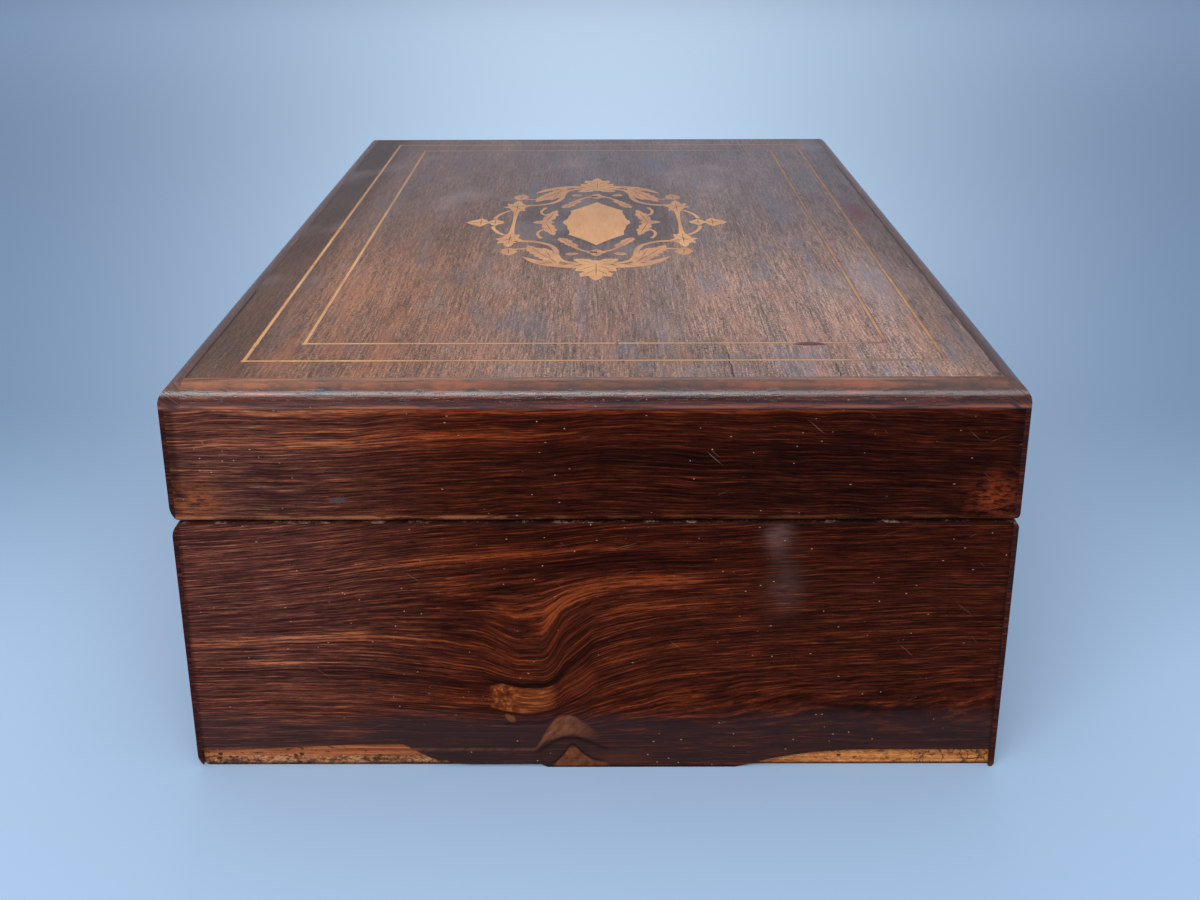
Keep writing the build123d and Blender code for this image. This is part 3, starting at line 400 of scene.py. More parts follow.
def make_lid_end():
    """The end of the lid that shows."""
    wood = Finish("rosewood_lid_end", "yzx")
    y, z = wood.y, wood.z
    bow = y.through((-106, 0), (-50, 1.0), (0, 3.4), (50, 3.0), (106, 1.4))
    start = z - bow + wood.noise(0.03, 0.03, 3.0, 2.0) * 4.0
    light, pores = rosewood_lines(wood, start, 42.0)
    streaks = streaked(
        wood,
        (start, (-62, 94.4), (34, 1.5), 0.30),
        (z, (-30, 95.5), (40, 1.1), 0.22),
        (z, (0, 101.8), (90, 0.7), 0.35),
        (start, (20, 88), (50, 3.0), -0.15),
    )
    rosewood_tone(wood, light + streaks, pores)
    # paler and mauve to the left as painted light and sheen; darker to the middle and right,
    # cooler to the right, as painted shade
    wood.tint((1.60, 2.9, 5.2), y.step(-30, -90))
    wood.tint((0.62, 0.57, 0.64), y.step(-60, 10))
    wood.tint((0.76, 0.82, 0.90), z.step(96, 88))
    wood.tint((0.74, 0.80, 0.88), y.step(10, 70))
    wood.lay((22, 9, 8), abs(y).step(100.8, 102.6) * 0.5)
    # rubbed corners, a dent, and the bare arris along the joint
    patchy = wood.noise(0.25, 0.6, 6.0, 4.0, 0.7).step(0.40, 0.62)
    wood.lay((150, 78, 42), wood.spot((-98, 78), (6, 4.6)) * patchy * 0.75)
    wood.lay((140, 58, 30), wood.spot((98, 79), (6.0, 5.0)) * patchy * 0.75)
    worn = wood.noise(0.5, 1.1, 4.0, 4.0, 0.7)
    dent = (wood.spot((-63, 78.3), (3.0, 1.1)) + worn * 2.0).step(1.52, 1.66)
    wood.lay((74, 62, 62), dent * 0.8)
    chips(wood, 51.0)
    scratches(wood, 55.0, 0.22)
    bare = wood.noise(0.08, 0.5, 9.0, 4.0, 0.7).step(0.40, 0.60)
    wood.lay((186, 112, 72), z.step(74.3, 73.7) * bare * (0.12 + y.step(10, -50) * 0.38))
    gloss = 0.34 + wood.noise(0.03, 0.06, 57.0) * 0.2
    return wood.close(gloss, light * 0.03 - pores * 0.03, Specular_IOR_Level=0.02)


def make_rosewood(name, seed, face, rise):
    """Plain rosewood whose lines run along one direction and rise gently along it."""
    wood = Finish(name, face)
    along, z = wood.along, wood.z
    across = z + along * rise + wood.noise(0.012, 0.02, seed, 2.0) * 9.0
    light, pores = rosewood_lines(wood, across, seed)
    rosewood_tone(wood, light, pores)
    chips(wood, seed + 1, 0.5)
    scratches(wood, seed + 2, 0.14)
    foot = z.step(3.0, 0.6) * wood.noise(0.08, 0.3, seed + 4)
    wood.lay((130, 80, 54), foot * 0.7)
    wood.tint((0.5, 0.45, 0.5), abs(along).step(151.6, 152.2))
    bare = wood.noise(0.05, 0.5, seed + 5, 5.0, 0.75).step(0.46, 0.66)
    wood.lay((160, 100, 70), z.band(joint_middle, 1.1) * bare * 0.45)
    gloss = 0.34 + wood.noise(0.02, 0.05, seed + 6) * 0.2
    return wood.close(gloss, light * 0.03 - pores * 0.03, Specular_IOR_Level=0.12)


def make_lipping(name, seed, face):
    """The rounded strips round the lid's top edge: darker, rubbed orange where hands go."""
    wood = Finish(name, face)
    x, y, z = wood.x, wood.y, wood.z
    across_lid = face[0] == "y"
    wood.across = z * 0.9 + wood.across * 0.6
    light, pores = rosewood_lines(wood, wood.across, seed)
    rosewood_tone(wood, light * 0.8 + 0.04, pores)
    patchy = wood.noise(0.05, 0.8, seed + 3, 4.0, 0.6)
    high = z.step(106.8, 107.9) * (0.7 + patchy.step(0.28, 0.58) * 0.3)
    shades = wood.ramp(light, (0.25, (56, 27, 12)), (0.75, (118, 58, 24)))
    wood.lay(shades, high * (0.85 if across_lid else 0.30))
    wood.lay((150, 74, 32), z.band(102.9, 0.5) * patchy.step(0.38, 0.56) * 0.8)
    wood.lay((18, 8, 6), z.step(102.75, 102.4) * 0.6)
    bruise = wood.noise(0.35, 0.5, seed + 8, 4.0, 0.6)
    if across_lid:
        pitted = wood.noise(y * 0.9, z * 0.9, seed + 12, 4.0, 0.7)
        near = wood.spot((-65, 106.6), (2.8, 1.1), y, z) * x.step(0, 10)
        # lighter and bluer to the left: painted reflection of the pale floor in the polish
        wood.tint((1.5, 1.9, 2.3), y.step(-10, -80))
        wood.lay((34, 30, 38), (near + pitted * 1.6).step(1.25, 1.35) * 0.9)
    chips(wood, seed + 4, 0.7)
    gloss = 0.13 + wood.noise(0.04, 0.3, seed + 9) * 0.14
    height = light * 0.02 - pores * 0.02 + bruise * 0.04
    return wood.close(gloss, height, Specular_IOR_Level=0.55)


def make_top_rosewood():
    """The veneer on the lid: one faded sheet, redder to the front, with a painted bluish grey
    reflection of the backdrop to the back and right.
    """
    wood = Finish("rosewood_lid_top")
    x, y = wood.x, wood.y
    broad = wood.noise(0.010, 0.04, 1.0, 4.0, 0.6)
    streaks = wood.noise(0.018, 0.22, 8.0, 4.0, 0.6)
    lines = wood.noise(0.05, 1.1, 14.0, 4.0, 0.65)
    hairs = wood.noise(0.16, 2.4, 22.0, 4.0, 0.7)
    crazed = wood.noise(1.3, 1.3, 26.0, 4.0, 0.8)
    light = broad * 0.7 + streaks * 0.45 + lines + hairs * 1.7 + crazed * 2.3 - 2.575
    pores = wood.noise(0.16, 3.0, 31.0, 2.0).step(0.58, 0.68)
    wood.tone = wood.ramp(
        light, (0.10, (66, 45, 37)), (0.38, (96, 67, 53)), (0.60, (124, 87, 68)),
        (0.90, (166, 116, 86)),
    )
    wood.lay((48, 33, 29), pores * 0.5)
    warm = wood.noise(0.03, 0.12, 17.0, 5.0, 0.65).step(0.46, 0.64)
    warm = warm * (x.step(-20, 145) * 0.7 + y.step(-30, -80) * 0.4)
    wood.lay((150, 92, 66), warm * (0.25 + lines * 0.5))
    cool = wood.noise(0.025, 0.10, 19.0, 4.0, 0.6).step(0.50, 0.66)
    wood.lay((92, 84, 86), cool * 0.35)
    # bluer and lighter to the right, bluer and greyer to the back: painted reflection of the pale
    # backdrop in the polish
    wood.tint((1.02, 1.27, 1.62), y.step(-55, 0))
    wood.tint((1.26, 1.32, 1.38), y.step(10, 60) * y.step(96, 78) * x.step(-40, 110))
    wood.tint((0.86, 1.03, 1.30), x.step(70, -120))
    wood.lay((106, 100, 108), x.step(70, -120) * 0.35)
    wood.lay((62, 42, 34), y.step(-78, -90) * 0.62)
    wood.lay((60, 40, 34), abs(y).step(97.8, 99.6) * 0.35)
    wood.tint((0.80, 0.82, 0.86), x.step(80, 0))
    wood.tint((0.72, 0.76, 0.82), abs(y).step(84, 92) * x.step(150, 130))
    # darker ground inside the cartouche
    ring = wood.math("SQRT", (x / 47) * (x / 47) + (y / 29) * (y / 29))
    wood.lay((60, 54, 61), ring.step(1.05, 0.85) * 0.55)
    # blooms, stains and chip
    cloud = wood.noise(0.02, 0.03, 40.0, 4.0)
    wood.lay((146, 132, 132), cloud.step(0.52, 0.72) * 0.28)
    wood.lay((84, 50, 58), wood.spot((-12, 93), (17, 4.2)) * 0.85)
    wood.lay((92, 92, 100), wood.spot((134, 34), (2.6, 5.5)) * 0.55)
    ragged = wood.noise(0.8, 0.8, 44.0)
    chip = (wood.spot((124.3, 56), (1.0, 4.6)) + ragged * 0.4).step(0.60, 0.72)
    wood.lay((88, 32, 22), chip * 0.95)
    # cracks across the front border, and the open joints beside the lippings
    ragged_y = y + wood.noise(0.5, 0.1, 46.0) * 1.2 - 0.6
    first = ragged_y.band(33.8, 0.16) * x.between(130, 147, 0.6)
    second = ragged_y.band(59.9, 0.14) * x.between(138, 147, 0.6)
    open_joint = y.step(-98.9, -99.4) * x.between(78, 147, 2.0)
    hinge_joint = (y + crazed * 0.4).step(99.1, 99.5) * x.between(-90, 147, 4.0)
    corner = wood.spot((145.6, 98.6), (1.8, 0.9))
    gaps = first.highest(second).highest(open_joint)
    gaps = gaps.highest((hinge_joint * 0.85).highest(corner))
    wood.lay((22, 12, 10), gaps * 0.9)
    dots = wood.cells(9, 7, 3.0).step(0.075, 0.05)
    tracks = wood.noise(0.8, 0.22, 48.0, 2.0).step(0.70, 0.74)
    wood.lay((38, 24, 21), dots.highest(tracks) * 0.75)
    wander = wood.noise(0.02, 0.02, 52.0, 3.0)
    hair_cracks = wander.band(0.5, 0.0025) + wander.band(0.58, 0.002)
    wood.lay((44, 28, 24), hair_cracks * crazed.step(0.45, 0.6) * 0.5)
    chips(wood, 61.0, 0.30)
    scratches(wood, 65.0, 0.16)
    gloss = 0.40 + wood.noise(0.02, 0.03, 67.0) * 0.22 + cloud * 0.08
    return wood.close(gloss, light * 0.02 - pores * 0.03 - gaps * 0.15, Specular_IOR_Level=0.28)


# Boxwood
def boxwood_tone(wood, seed):
    """Honey coloured and fine grained, greyer towards the back of the lid."""
    clouds = wood.noise(0.05, 0.09, seed, 3.0)
    fibres = wood.noise(0.12, 2.2, seed + 4, 3.0, 0.6)
    light = clouds * 0.55 + fibres * 0.45
    wood.tone = wood.ramp(
        light, (0.30, (172, 114, 68)), (0.50, (198, 142, 92)), (0.72, (216, 166, 116))
    )
    wood.lay((150, 112, 84), wood.x.step(30, -40) * 0.45)
    wood.tint((0.90, 0.88, 0.84), 1.0)
    grime = wood.noise(0.5, 0.5, seed + 6, 4.0).step(0.62, 0.74)
    wood.lay((110, 70, 44), grime * 0.35)
    return fibres


def make_boxwood():
    wood = Finish("boxwood_cartouche")
    fibres = boxwood_tone(wood, 3.0)
    return wood.close(0.42, fibres * 0.01, Specular_IOR_Level=0.5)


def make_worn_boxwood():
    """The scrolls, rubbed and stained brown by the polish."""
    wood = Finish("boxwood_rubbed")
    fibres = boxwood_tone(wood, 9.0)
    worn = wood.noise(0.14, 0.14, 12.0, 3.0)
    wood.lay((146, 96, 72), 0.25 + worn.step(0.42, 0.66) * 0.45)
    return wood.close(0.45, fibres * 0.01, Specular_IOR_Level=0.5)


def make_strings():
    """The strings: bright on the keyhole side, stained dark on the hinge side."""
    wood = Finish("boxwood_strings")
    fibres = boxwood_tone(wood, 15.0)
    x, y = wood.x, wood.y
    stained = y.step(60, 72) * (0.62 + x.step(80, 20) * 0.36)
    stained = stained + x.step(119, 122) * y.step(-70, -30) * 0.4
    stained = stained + x.step(40, -60) * 0.34 + x.step(-112, -118) * 0.3
    patchy = wood.noise(0.1, 0.1, 19.0, 3.0).step(0.62, 0.36) * 0.3 + 0.7
    wood.lay((112, 76, 60), stained.lowest(1.0) * patchy)
    breaks = wood.noise(0.4, 0.4, 23.0, 2.0).step(0.66, 0.71)
    chipped = wood.spot((123.6, 55.6), (1.2, 4.0)).step(0.3, 0.6)
    wood.lay((70, 34, 24), (breaks * 0.8).highest(chipped))
    # dark glue along both edges of each string, from the strings' middle lines
    outer_half, inner_half = (135.65, 88.15), (123.05, 75.55)
    beside = abs(abs(y) - outer_half[1]).lowest(abs(abs(y) - inner_half[1]))
    ahead = abs(abs(x) - outer_half[0]).lowest(abs(abs(x) - inner_half[0]))
    ragged = wood.noise(0.6, 0.6, 25.0, 2.0)
    wood.lay((58, 36, 27), (beside.lowest(ahead) + ragged * 0.2).step(0.46, 0.64) * 0.9)
    return wood.close(0.45, fibres * 0.01, Specular_IOR_Level=0.5)


def make_dark_mastic():
    """The dark filling of engraved lines."""
    mastic = Finish("dark_mastic")
    speckle = mastic.noise(1.5, 1.5, 2.0)
    mastic.tone = mastic.ramp(speckle, (0.3, (36, 22, 18)), (0.7, (70, 44, 34)))
    return mastic.close(0.6)


# Bare wood where the veneer is lost, and the boards inside
def make_bare_board(name, seed, pitting):
    """Old softwood, crumbling and full of worm holes at the foot."""
    wood = Finish(name, "yzx")
    x, y, z = wood.x, wood.y, wood.z
    grain = wood.noise(0.04, 1.1, x * 0.3 + seed, 4.0, 0.6)
    crumble = wood.noise(0.6, 1.0, x * 0.5 + seed, 5.0, 0.75)
    wood.tone = wood.ramp(
        grain * 0.5 + crumble * 0.5, (0.34, (124, 66, 32)), (0.46, (180, 104, 52)),
        (0.56, (212, 136, 72)), (0.68, (236, 174, 108)),
    )
    # on the keyhole side a brown upper band, and a pale and dark crumbling foot
    left = y.step(10, -10)
    wood.lay(wood.ramp(grain, (0.36, (130, 66, 36)), (0.62, (196, 114, 68))), left)
    ragged = wood.noise(0.12, 0.2, seed + 3, 4.0, 0.6)
    patches = wood.noise(0.05, 0.1, seed + 8, 2.0)
    pale = wood.ramp(
        crumble + patches * 0.8 - 0.4, (0.36, (52, 32, 27)), (0.48, (104, 62, 42)),
        (0.58, (166, 106, 68)), (0.72, (212, 156, 108)),
    )
    wood.lay(pale, (z - ragged * 3.0).step(1.6, 0.9) * left)
    holes = wood.cells(3.0, 2.2, x / 3.0 + seed).step(0.24, 0.16)
    near = wood.noise(0.12, 0.1, seed + 6, 2.0).step(0.46, 0.60)
    burrows = wood.noise(0.35, 0.9, x * 0.8 + seed, 3.0).step(0.62, 0.68)
    eaten = (holes * near).highest(burrows * 0.8)
    wood.lay((48, 24, 16), eaten * 0.85)
    cracks = wood.noise(0.16, 0.1, seed + 11, 3.0).band(0.5, 0.012) * y.step(70, 90)
    wood.lay((40, 20, 14), cracks * 0.8)
    # painted contact shadow along the foot
    wood.lay((34, 22, 20), z.step(0.9, 0.3) * 0.85)
    return wood.close(0.85, crumble * pitting - eaten * 0.8, Specular_IOR_Level=0.2)


def make_pine(name, seed, face):
    """The carcass boards: plain pale softwood with resin lines."""
    wood = Finish(name, face)
    depth = wood.depth
    rings = wood.noise(0.006, 0.30, depth * 0.3 + seed, 3.0)
    fibres = wood.noise(0.04, 2.2, depth * 2.0 + seed, 3.0)
    light = rings * 0.6 + fibres * 0.4
    wood.tone = wood.ramp(
        light, (0.32, (142, 96, 56)), (0.50, (180, 132, 84)), (0.70, (206, 164, 114))
    )
    dirt = wood.noise(0.02, 0.03, depth * 0.02 + seed + 4, 4.0)
    wood.lay((92, 62, 44), dirt.step(0.46, 0.72) * 0.5)
    worm = wood.cells(14, 14, depth / 14 + seed).step(0.05, 0.035)
    wood.lay((40, 24, 18), worm * 0.9)
    return wood.close(0.75, fibres * 0.05 - worm * 0.4, Specular_IOR_Level=0.3)


def make_brown_wood(name, seed, face, dark, light, gloss):
    """Plain brown wood: rims, rests and the tray."""
    wood = Finish(name, face)
    depth = wood.depth
    streaks = wood.noise(0.012, 0.5, depth * 0.5 + seed, 3.0)
    fibres = wood.noise(0.05, 2.6, depth * 2.6 + seed, 3.0)
    wood.tone = wood.ramp(streaks * 0.55 + fibres * 0.45, (0.32, dark), (0.68, light))
    pores = wood.noise(0.2, 5.0, depth * 5.0 + seed, 2.0).step(0.60, 0.68)
    wood.lay((40, 20, 14), pores * 0.45)
    height = fibres * 0.02 - pores * 0.03
    return wood.close(gloss + fibres * 0.12, height, Specular_IOR_Level=0.45)


# Metal
def make_metal(name, seed, dark, light, patina, gloss):
    """Old metal: dulled, with darker patina in patches and fine file marks."""
    metal = Finish(name)
    z = metal.z
    patches = metal.noise(0.25, 0.25, z * 0.25 + seed, 4.0, 0.6)
    marks = metal.noise(0.5, 4.5, z * 4.5 + seed, 2.0)
    metal.tone = metal.ramp(patches * 0.6 + marks * 0.4, (0.3, dark), (0.7, light))
    spots = metal.noise(0.9, 0.9, z * 0.9 + seed, 4.0).step(0.58, 0.70)
    metal.lay(patina, spots * 0.7)
    roughness = gloss + patches * 0.25 + spots * 0.2
    return metal.close(roughness, marks * 0.01 - spots * 0.02, Metallic=1.0)


# Cloth
def make_velvet():
    """Dark red velvet, with the pile laid in patches."""
    cloth = Finish("velvet_lining")
    laid = cloth.noise(0.03, 0.03, cloth.z * 0.05, 4.0, 0.6)
    pile = cloth.noise(2.6, 2.6, cloth.z * 2.6, 2.0)
    light = laid * 0.6 + pile * 0.4
    shades = (0.30, (50, 8, 14)), (0.55, (86, 18, 26)), (0.75, (124, 40, 44))
    cloth.tone = cloth.ramp(light, *shades)
    sheen = {"Sheen_Weight": 0.15, "Sheen_Roughness": 0.4, "Specular_IOR_Level": 0.1}
    return cloth.close(0.9, pile * 0.25, **sheen)


def make_satin():
    """Faded red satin: fine ribs, a soft shine, pale slubs."""
    cloth = Finish("satin_cushion")
    z = cloth.z
    faded = cloth.noise(0.02, 0.02, z * 0.1 + 2.0, 4.0)
    ribs = cloth.noise(0.2, 7.0, z * 7.0, 2.0)
    light = faded * 0.7 + ribs * 0.3
    shades = (0.32, (96, 16, 24)), (0.52, (134, 34, 40)), (0.72, (170, 70, 66))
    cloth.tone = cloth.ramp(light, *shades)
    creases = cloth.noise(0.10, 0.10, z * 0.1 + 9.0, 4.0, 0.6, 1.2)
    slubs = cloth.noise(0.1, 3.0, z * 3.0 + 5.0, 2.0).step(0.62, 0.70)
    cloth.lay((186, 96, 92), slubs * 0.4)
    sheen = {"Sheen_Weight": 0.15, "Specular_IOR_Level": 0.45}
    return cloth.close(0.36 + ribs * 0.16, ribs * 0.04 + creases * 0.9, **sheen)


def make_ribbon():
    """Ribbed silk ribbon."""
    cloth = Finish("ribbon_silk")
    rib_pitch = 0.55
    ribs = cloth.math("SINE", (cloth.z + cloth.x) * (2 * pi / rib_pitch)) * 0.5 + 0.5
    worn = cloth.noise(0.3, 0.3, cloth.z * 0.3, 3.0)
    cloth.tone = cloth.ramp(worn, (0.35, (104, 22, 30)), (0.70, (158, 60, 60)))
    cloth.lay((70, 12, 20), (1.0 - ribs) * 0.4)
    return cloth.close(0.45, ribs * 0.08, Sheen_Weight=0.3)


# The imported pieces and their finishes
def dress(finish, names):
    """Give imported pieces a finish."""
    for name in names.split():
        node[name].data.materials.clear()
        node[name].data.materials.append(finish.material)


def ease(width, names):
    """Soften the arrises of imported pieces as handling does."""
    for name in names.split():
        bevel = node[name].modifiers.new("eased_edges", "BEVEL")
        bevel.width = width * MM
        bevel.segments = 2
        bevel.limit_method = "ANGLE"
        bevel.angle_limit = radians(40)


# Faces: a long side or an end of the box with upright height, and pieces that lie flat
side_face, end_face, flat_face = "xzy", "yzx", "xyz"
dress(make_base_end(), "base_right_veneer")
dress(make_lid_end(), "lid_right_veneer")
rosewood_front = make_rosewood("rosewood_front", 71.0, side_face, 0.012)
rosewood_back = make_rosewood("rosewood_back", 83.0, side_face, -0.010)
rosewood_left = make_rosewood("rosewood_left_end", 97.0, end_face, 0.020)
dress(rosewood_front, "base_front_veneer lid_front_veneer")
dress(rosewood_back, "base_back_veneer lid_back_veneer")
dress(rosewood_left, "base_left_veneer lid_left_veneer")
dress(make_lipping("lipping_ends", 33.0, "yxz"), "lipping_left lipping_right")
dress(make_lipping("lipping_sides", 36.0, "xyz"), "lipping_front lipping_back")
dress(make_top_rosewood(), "field_veneer inner_band_veneer outer_band_veneer")
dress(make_strings(), "outer_stringing inner_stringing")
dress(make_bare_board("bare_end_board", 4.0, 0.25), "base_right_board")
dress(make_bare_board("bare_bottom_board", 9.0, 0.9), "bottom_board")
dress(make_pine("pine_long_boards", 5.0, side_face), "base_front_board base_back_board")
dress(make_pine("pine_lid_long_boards", 6.0, side_face), "lid_front_board lid_back_board")
pine_ends = make_pine("pine_end_boards", 7.0, end_face)
dress(pine_ends, "base_left_board lid_left_board lid_right_board")
strips = make_brown_wood("rim_strips", 11.0, flat_face, (52, 24, 16), (104, 56, 32), 0.42)
dress(strips, "base_rim lid_rim lid_top_board")
tray_tones = (92, 44, 24), (160, 92, 54)
long_pieces = make_brown_wood("tray_long_pieces", 13.0, side_face, *tray_tones, 0.34)
dress(long_pieces, "tray_front tray_back tray_long_divider")
cross_pieces = make_brown_wood("tray_cross_pieces", 14.0, end_face, *tray_tones, 0.34)
dress(cross_pieces, "tray_left tray_right tray_front_divider tray_back_dividers tray_rests")
dress(make_brown_wood("tray_floor", 15.0, flat_face, *tray_tones, 0.5), "tray_bottom")
brass_tones = (160, 116, 62), (216, 174, 106), (88, 60, 38)
brass = make_metal("dulled_brass", 1.0, *brass_tones, 0.28)
hinges, lock = "hinge_base_leaves hinge_lid_leaves ", "lock_case lock_link_plate escutcheon"
dress(brass, hinges + "hinge_pins " + lock)
steel_tones = (96, 92, 88), (170, 166, 160), (74, 54, 44)
dress(make_metal("darkened_steel", 5.0, *steel_tones, 0.32), "lock_bolt")
dress(make_velvet(), "base_wall_lining base_floor_lining lid_wall_lining")
dress(make_ribbon(), "tray_pulls")
ease(0.35, "tray_front tray_back tray_left tray_right")
ease(0.3, "tray_long_divider tray_front_divider tray_back_dividers")
ease(0.15, hinges + lock)


# Pieces made here
def make_piece(name, mesh_maker, materials, body):
    """An object from a bmesh, in millimetres, riding on a body."""
    mesh = bpy.data.meshes.new(name)
    shape = bmesh.new()
    mesh_maker(shape)
    bmesh.ops.scale(shape, vec=(MM, MM, MM), verts=shape.verts)
    bmesh.ops.recalc_face_normals(shape, faces=shape.faces)
    if shape.calc_volume(signed=True) < 0:
        bmesh.ops.reverse_faces(shape, faces=shape.faces)
    shape.to_mesh(mesh)
    shape.free()
    for finish in materials:
        mesh.materials.append(finish.material)
    piece = bpy.data.objects.new(name, mesh)
    bpy.context.collection.objects.link(piece)
    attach(piece, body)
    return piece


def plate(shape, outline, low, high, material=0):
    """A flat piece between two levels, from its outline."""
    top = [shape.verts.new((x, y, high)) for x, y in outline]
    bottom = [shape.verts.new((x, y, low)) for x, y in outline]
    faces = [shape.faces.new(top), shape.faces.new(list(reversed(bottom)))]
    for index in range(len(outline)):
        after = (index + 1) % len(outline)
        faces.append(shape.faces.new((top[after], top[index], bottom[index], bottom[after])))
    for face in faces:
        face.material_index = material


gathered_from = 3.0


def turned_solid(shape, middle, level, up, profile, around, gathered=0.0):
    """A round piece, closed at both ends, from radii at depths below a level. Its wide rings
    can be gathered, every second point standing out."""
    x, y = middle
    last = None
    for radius, depth in profile:
        ring = []
        for step in range(around):
            angle = 2 * pi * step / around
            reach = radius * (1 + gathered * (step % 2) * (radius > gathered_from))
            place = (x + reach * cos(angle), y + reach * sin(angle), level - up * depth)
            ring.append(shape.verts.new(place))
        if last is None:
            shape.faces.new(ring)
        else:
            for step in range(around):
                after = (step + 1) % around
                shape.faces.new((last[step], last[after], ring[after], ring[step]))
        last = ring
    shape.faces.new(last[::-1])


# Padded satin: sewn over a flat back, then filled by the cloth simulation
cloth_frames = 14
spacing = 3.5
drawn_in = 1.4
crown_reach = 7.0
gather_depth, gather_pitch, gather_reach = 0.10, 0.9, 4.0
channel_depth, channel_width = 1.6, 2.6
pit_depth, pit_width = 2.2, 6.5
firmly_sewn, beside_rest = 1.45, 0.55


def fall(distance):
    """1 at no distance, falling off softly."""
    return 2.718 ** -distance


def cushion_shape(low, high, rest, thick, up, buttons=()):
    """Fill a bmesh with a closed cushion between two corners. It is flat at its rest level, its
    sides pull in between its corners, and channels are sewn through the buttons' rows."""
    length, width = high[0] - low[0], high[1] - low[1]
    columns, rows = round(length / spacing), round(width / spacing)
    edge = 0.3 * thick

    def draw(shape):
        face, back = {}, {}
        for i in range(columns + 1):
            for j in range(rows + 1):
                u, v = i / columns, j / rows
                x = low[0] + length * u - drawn_in * sin(pi * v) * (2 * u - 1) ** 5
                y = low[1] + width * v - drawn_in * sin(pi * u) * (2 * v - 1) ** 5
                inside = min(x - low[0], high[0] - x, y - low[1], high[1] - y)
                rim = i in (0, columns) or j in (0, rows)
                level = thick - (thick - edge) * fall(max(inside, 0) / crown_reach)
                gathers = sin((x if inside in (y - low[1], high[1] - y) else y) * gather_pitch)
                level += gather_depth * gathers * fall(max(inside, 0) / gather_reach)
                if buttons:
                    level -= sewn_depth(x, y, buttons)
                face[i, j] = shape.verts.new((x, y, rest + up * (edge / 2 if rim else level)))
                back[i, j] = face[i, j] if rim else shape.verts.new((x, y, rest))
        for i in range(columns):
            for j in range(rows):
                ring = ((i, j), (i + 1, j), (i + 1, j + 1), (i, j + 1))
                shape.faces.new([face[place] for place in ring])
                shape.faces.new([back[place] for place in reversed(ring)])

    return draw


def sewn_depth(x, y, buttons):
    """How far the stitching holds the satin down: channels between the buttons, pits at them."""
    channel = min(min(abs(x - place[0]), abs(y - place[1])) for place in buttons)
    pit = min(hypot(x - place[0], y - place[1]) for place in buttons)
    channel_fall, pit_fall = fall((channel / channel_width) ** 2), fall((pit / pit_width) ** 2)
    return channel_depth * channel_fall + pit_depth * pit_fall


def fill(piece, rest, pressure, most, buttons=()):
    """Inflate a cushion that is held at its back, its rim, its channels and its buttons."""
    held = piece.vertex_groups.new(name="held")
    for vertex in piece.data.vertices:
        x, y, z = vertex.co / MM
        sewn = bool(buttons) and sewn_depth(x, y, buttons) > firmly_sewn
        if abs(z - rest) < beside_rest or sewn:
            held.add([vertex.index], 1.0, "REPLACE")
    cloth = piece.modifiers.new("filling", "CLOTH")
    settings = cloth.settings
    settings.vertex_group_mass = "held"
    settings.mass, settings.quality, settings.air_damping = 0.3, 6, 1.0
    settings.use_pressure, settings.uniform_pressure_force = True, pressure
    settings.effector_weights.gravity = 0.0
    settings.tension_stiffness = settings.compression_stiffness = 15.0
    settings.shear_stiffness, settings.bending_stiffness = 5.0, 0.5
    for number in range(1, cloth_frames + 1):
        bpy.context.scene.frame_set(number)
    filled = piece.evaluated_get(bpy.context.evaluated_depsgraph_get()).data.vertices
    moves = [after.co - before.co for after, before in zip(filled, piece.data.vertices)]
    piece.modifiers.remove(cloth)
    piece.vertex_groups.remove(held)
    for vertex, move in zip(piece.data.vertices, moves):
        vertex.co += move * min(1.0, most * MM / max(move.length, 1e-9))
    bpy.context.scene.frame_set(1)
    smooth = piece.modifiers.new("smoothed", "SUBSURF")
    smooth.levels = smooth.render_levels = 1
    piece.data.polygons.foreach_set("use_smooth", [True] * len(piece.data.polygons))


def draw_lid_buttons(shape):
    """Covered buttons: low domes with a gathered edge, in the pits of the lid's cushion."""
    dome = ((4.4, 2.6), (4.6, 3.4), (3.9, 4.3), (2.4, 4.9), (0.8, 5.1))
    for middle in lid_buttons:
        turned_solid(shape, middle, lid_ceiling, 1, dome, 24, 0.05)


satin = make_satin()
pad_low, pad_high = [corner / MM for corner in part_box("lid_pad")]
lid_ceiling = pad_high.z
pitch_x, pitch_y = (pad_high.x - pad_low.x) / 4, (pad_high.y - pad_low.y) / 3
lid_buttons = [(pitch_x * (i - 1.5), pitch_y * (j - 1)) for i in range(4) for j in range(3)]
tufted = cushion_shape(pad_low, pad_high, lid_ceiling, 5.2, -1, lid_buttons)
cushion = make_piece("tufted_lid_cushion", tufted, [satin], "lid")
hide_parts("lid_pad")
fill(cushion, lid_ceiling, 1.6, 2.2, lid_buttons)
covered_buttons = make_piece("lid_cushion_buttons", draw_lid_buttons, [satin], "lid")
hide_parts("lid_pad")

tray_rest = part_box("tray_pads")[0].z / MM
inner, clear, wall = 136.6, 0.3, 1.5
compartments = {
    "front_left": ((-inner, -89.1), (-wall, 16.5)),
    "front_right": ((wall, -89.1), (inner, 16.5)),
    "back_left": ((-inner, 19.5), (-47.5, 89.1)),
    "back_middle": ((-44.5, 19.5), (44.5, 89.1)),
    "back_right": ((47.5, 19.5), (inner, 89.1)),
}
for place, (low, high) in compartments.items():
    low, high = [corner + clear for corner in low], [corner - clear for corner in high]
    plain = cushion_shape(low, high, tray_rest, 2.2, 1)
    cushion = make_piece("tray_cushion_" + place, plain, [satin], "tray")
    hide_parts("tray_pads")
    fill(cushion, tray_rest, 0.9, 0.8)


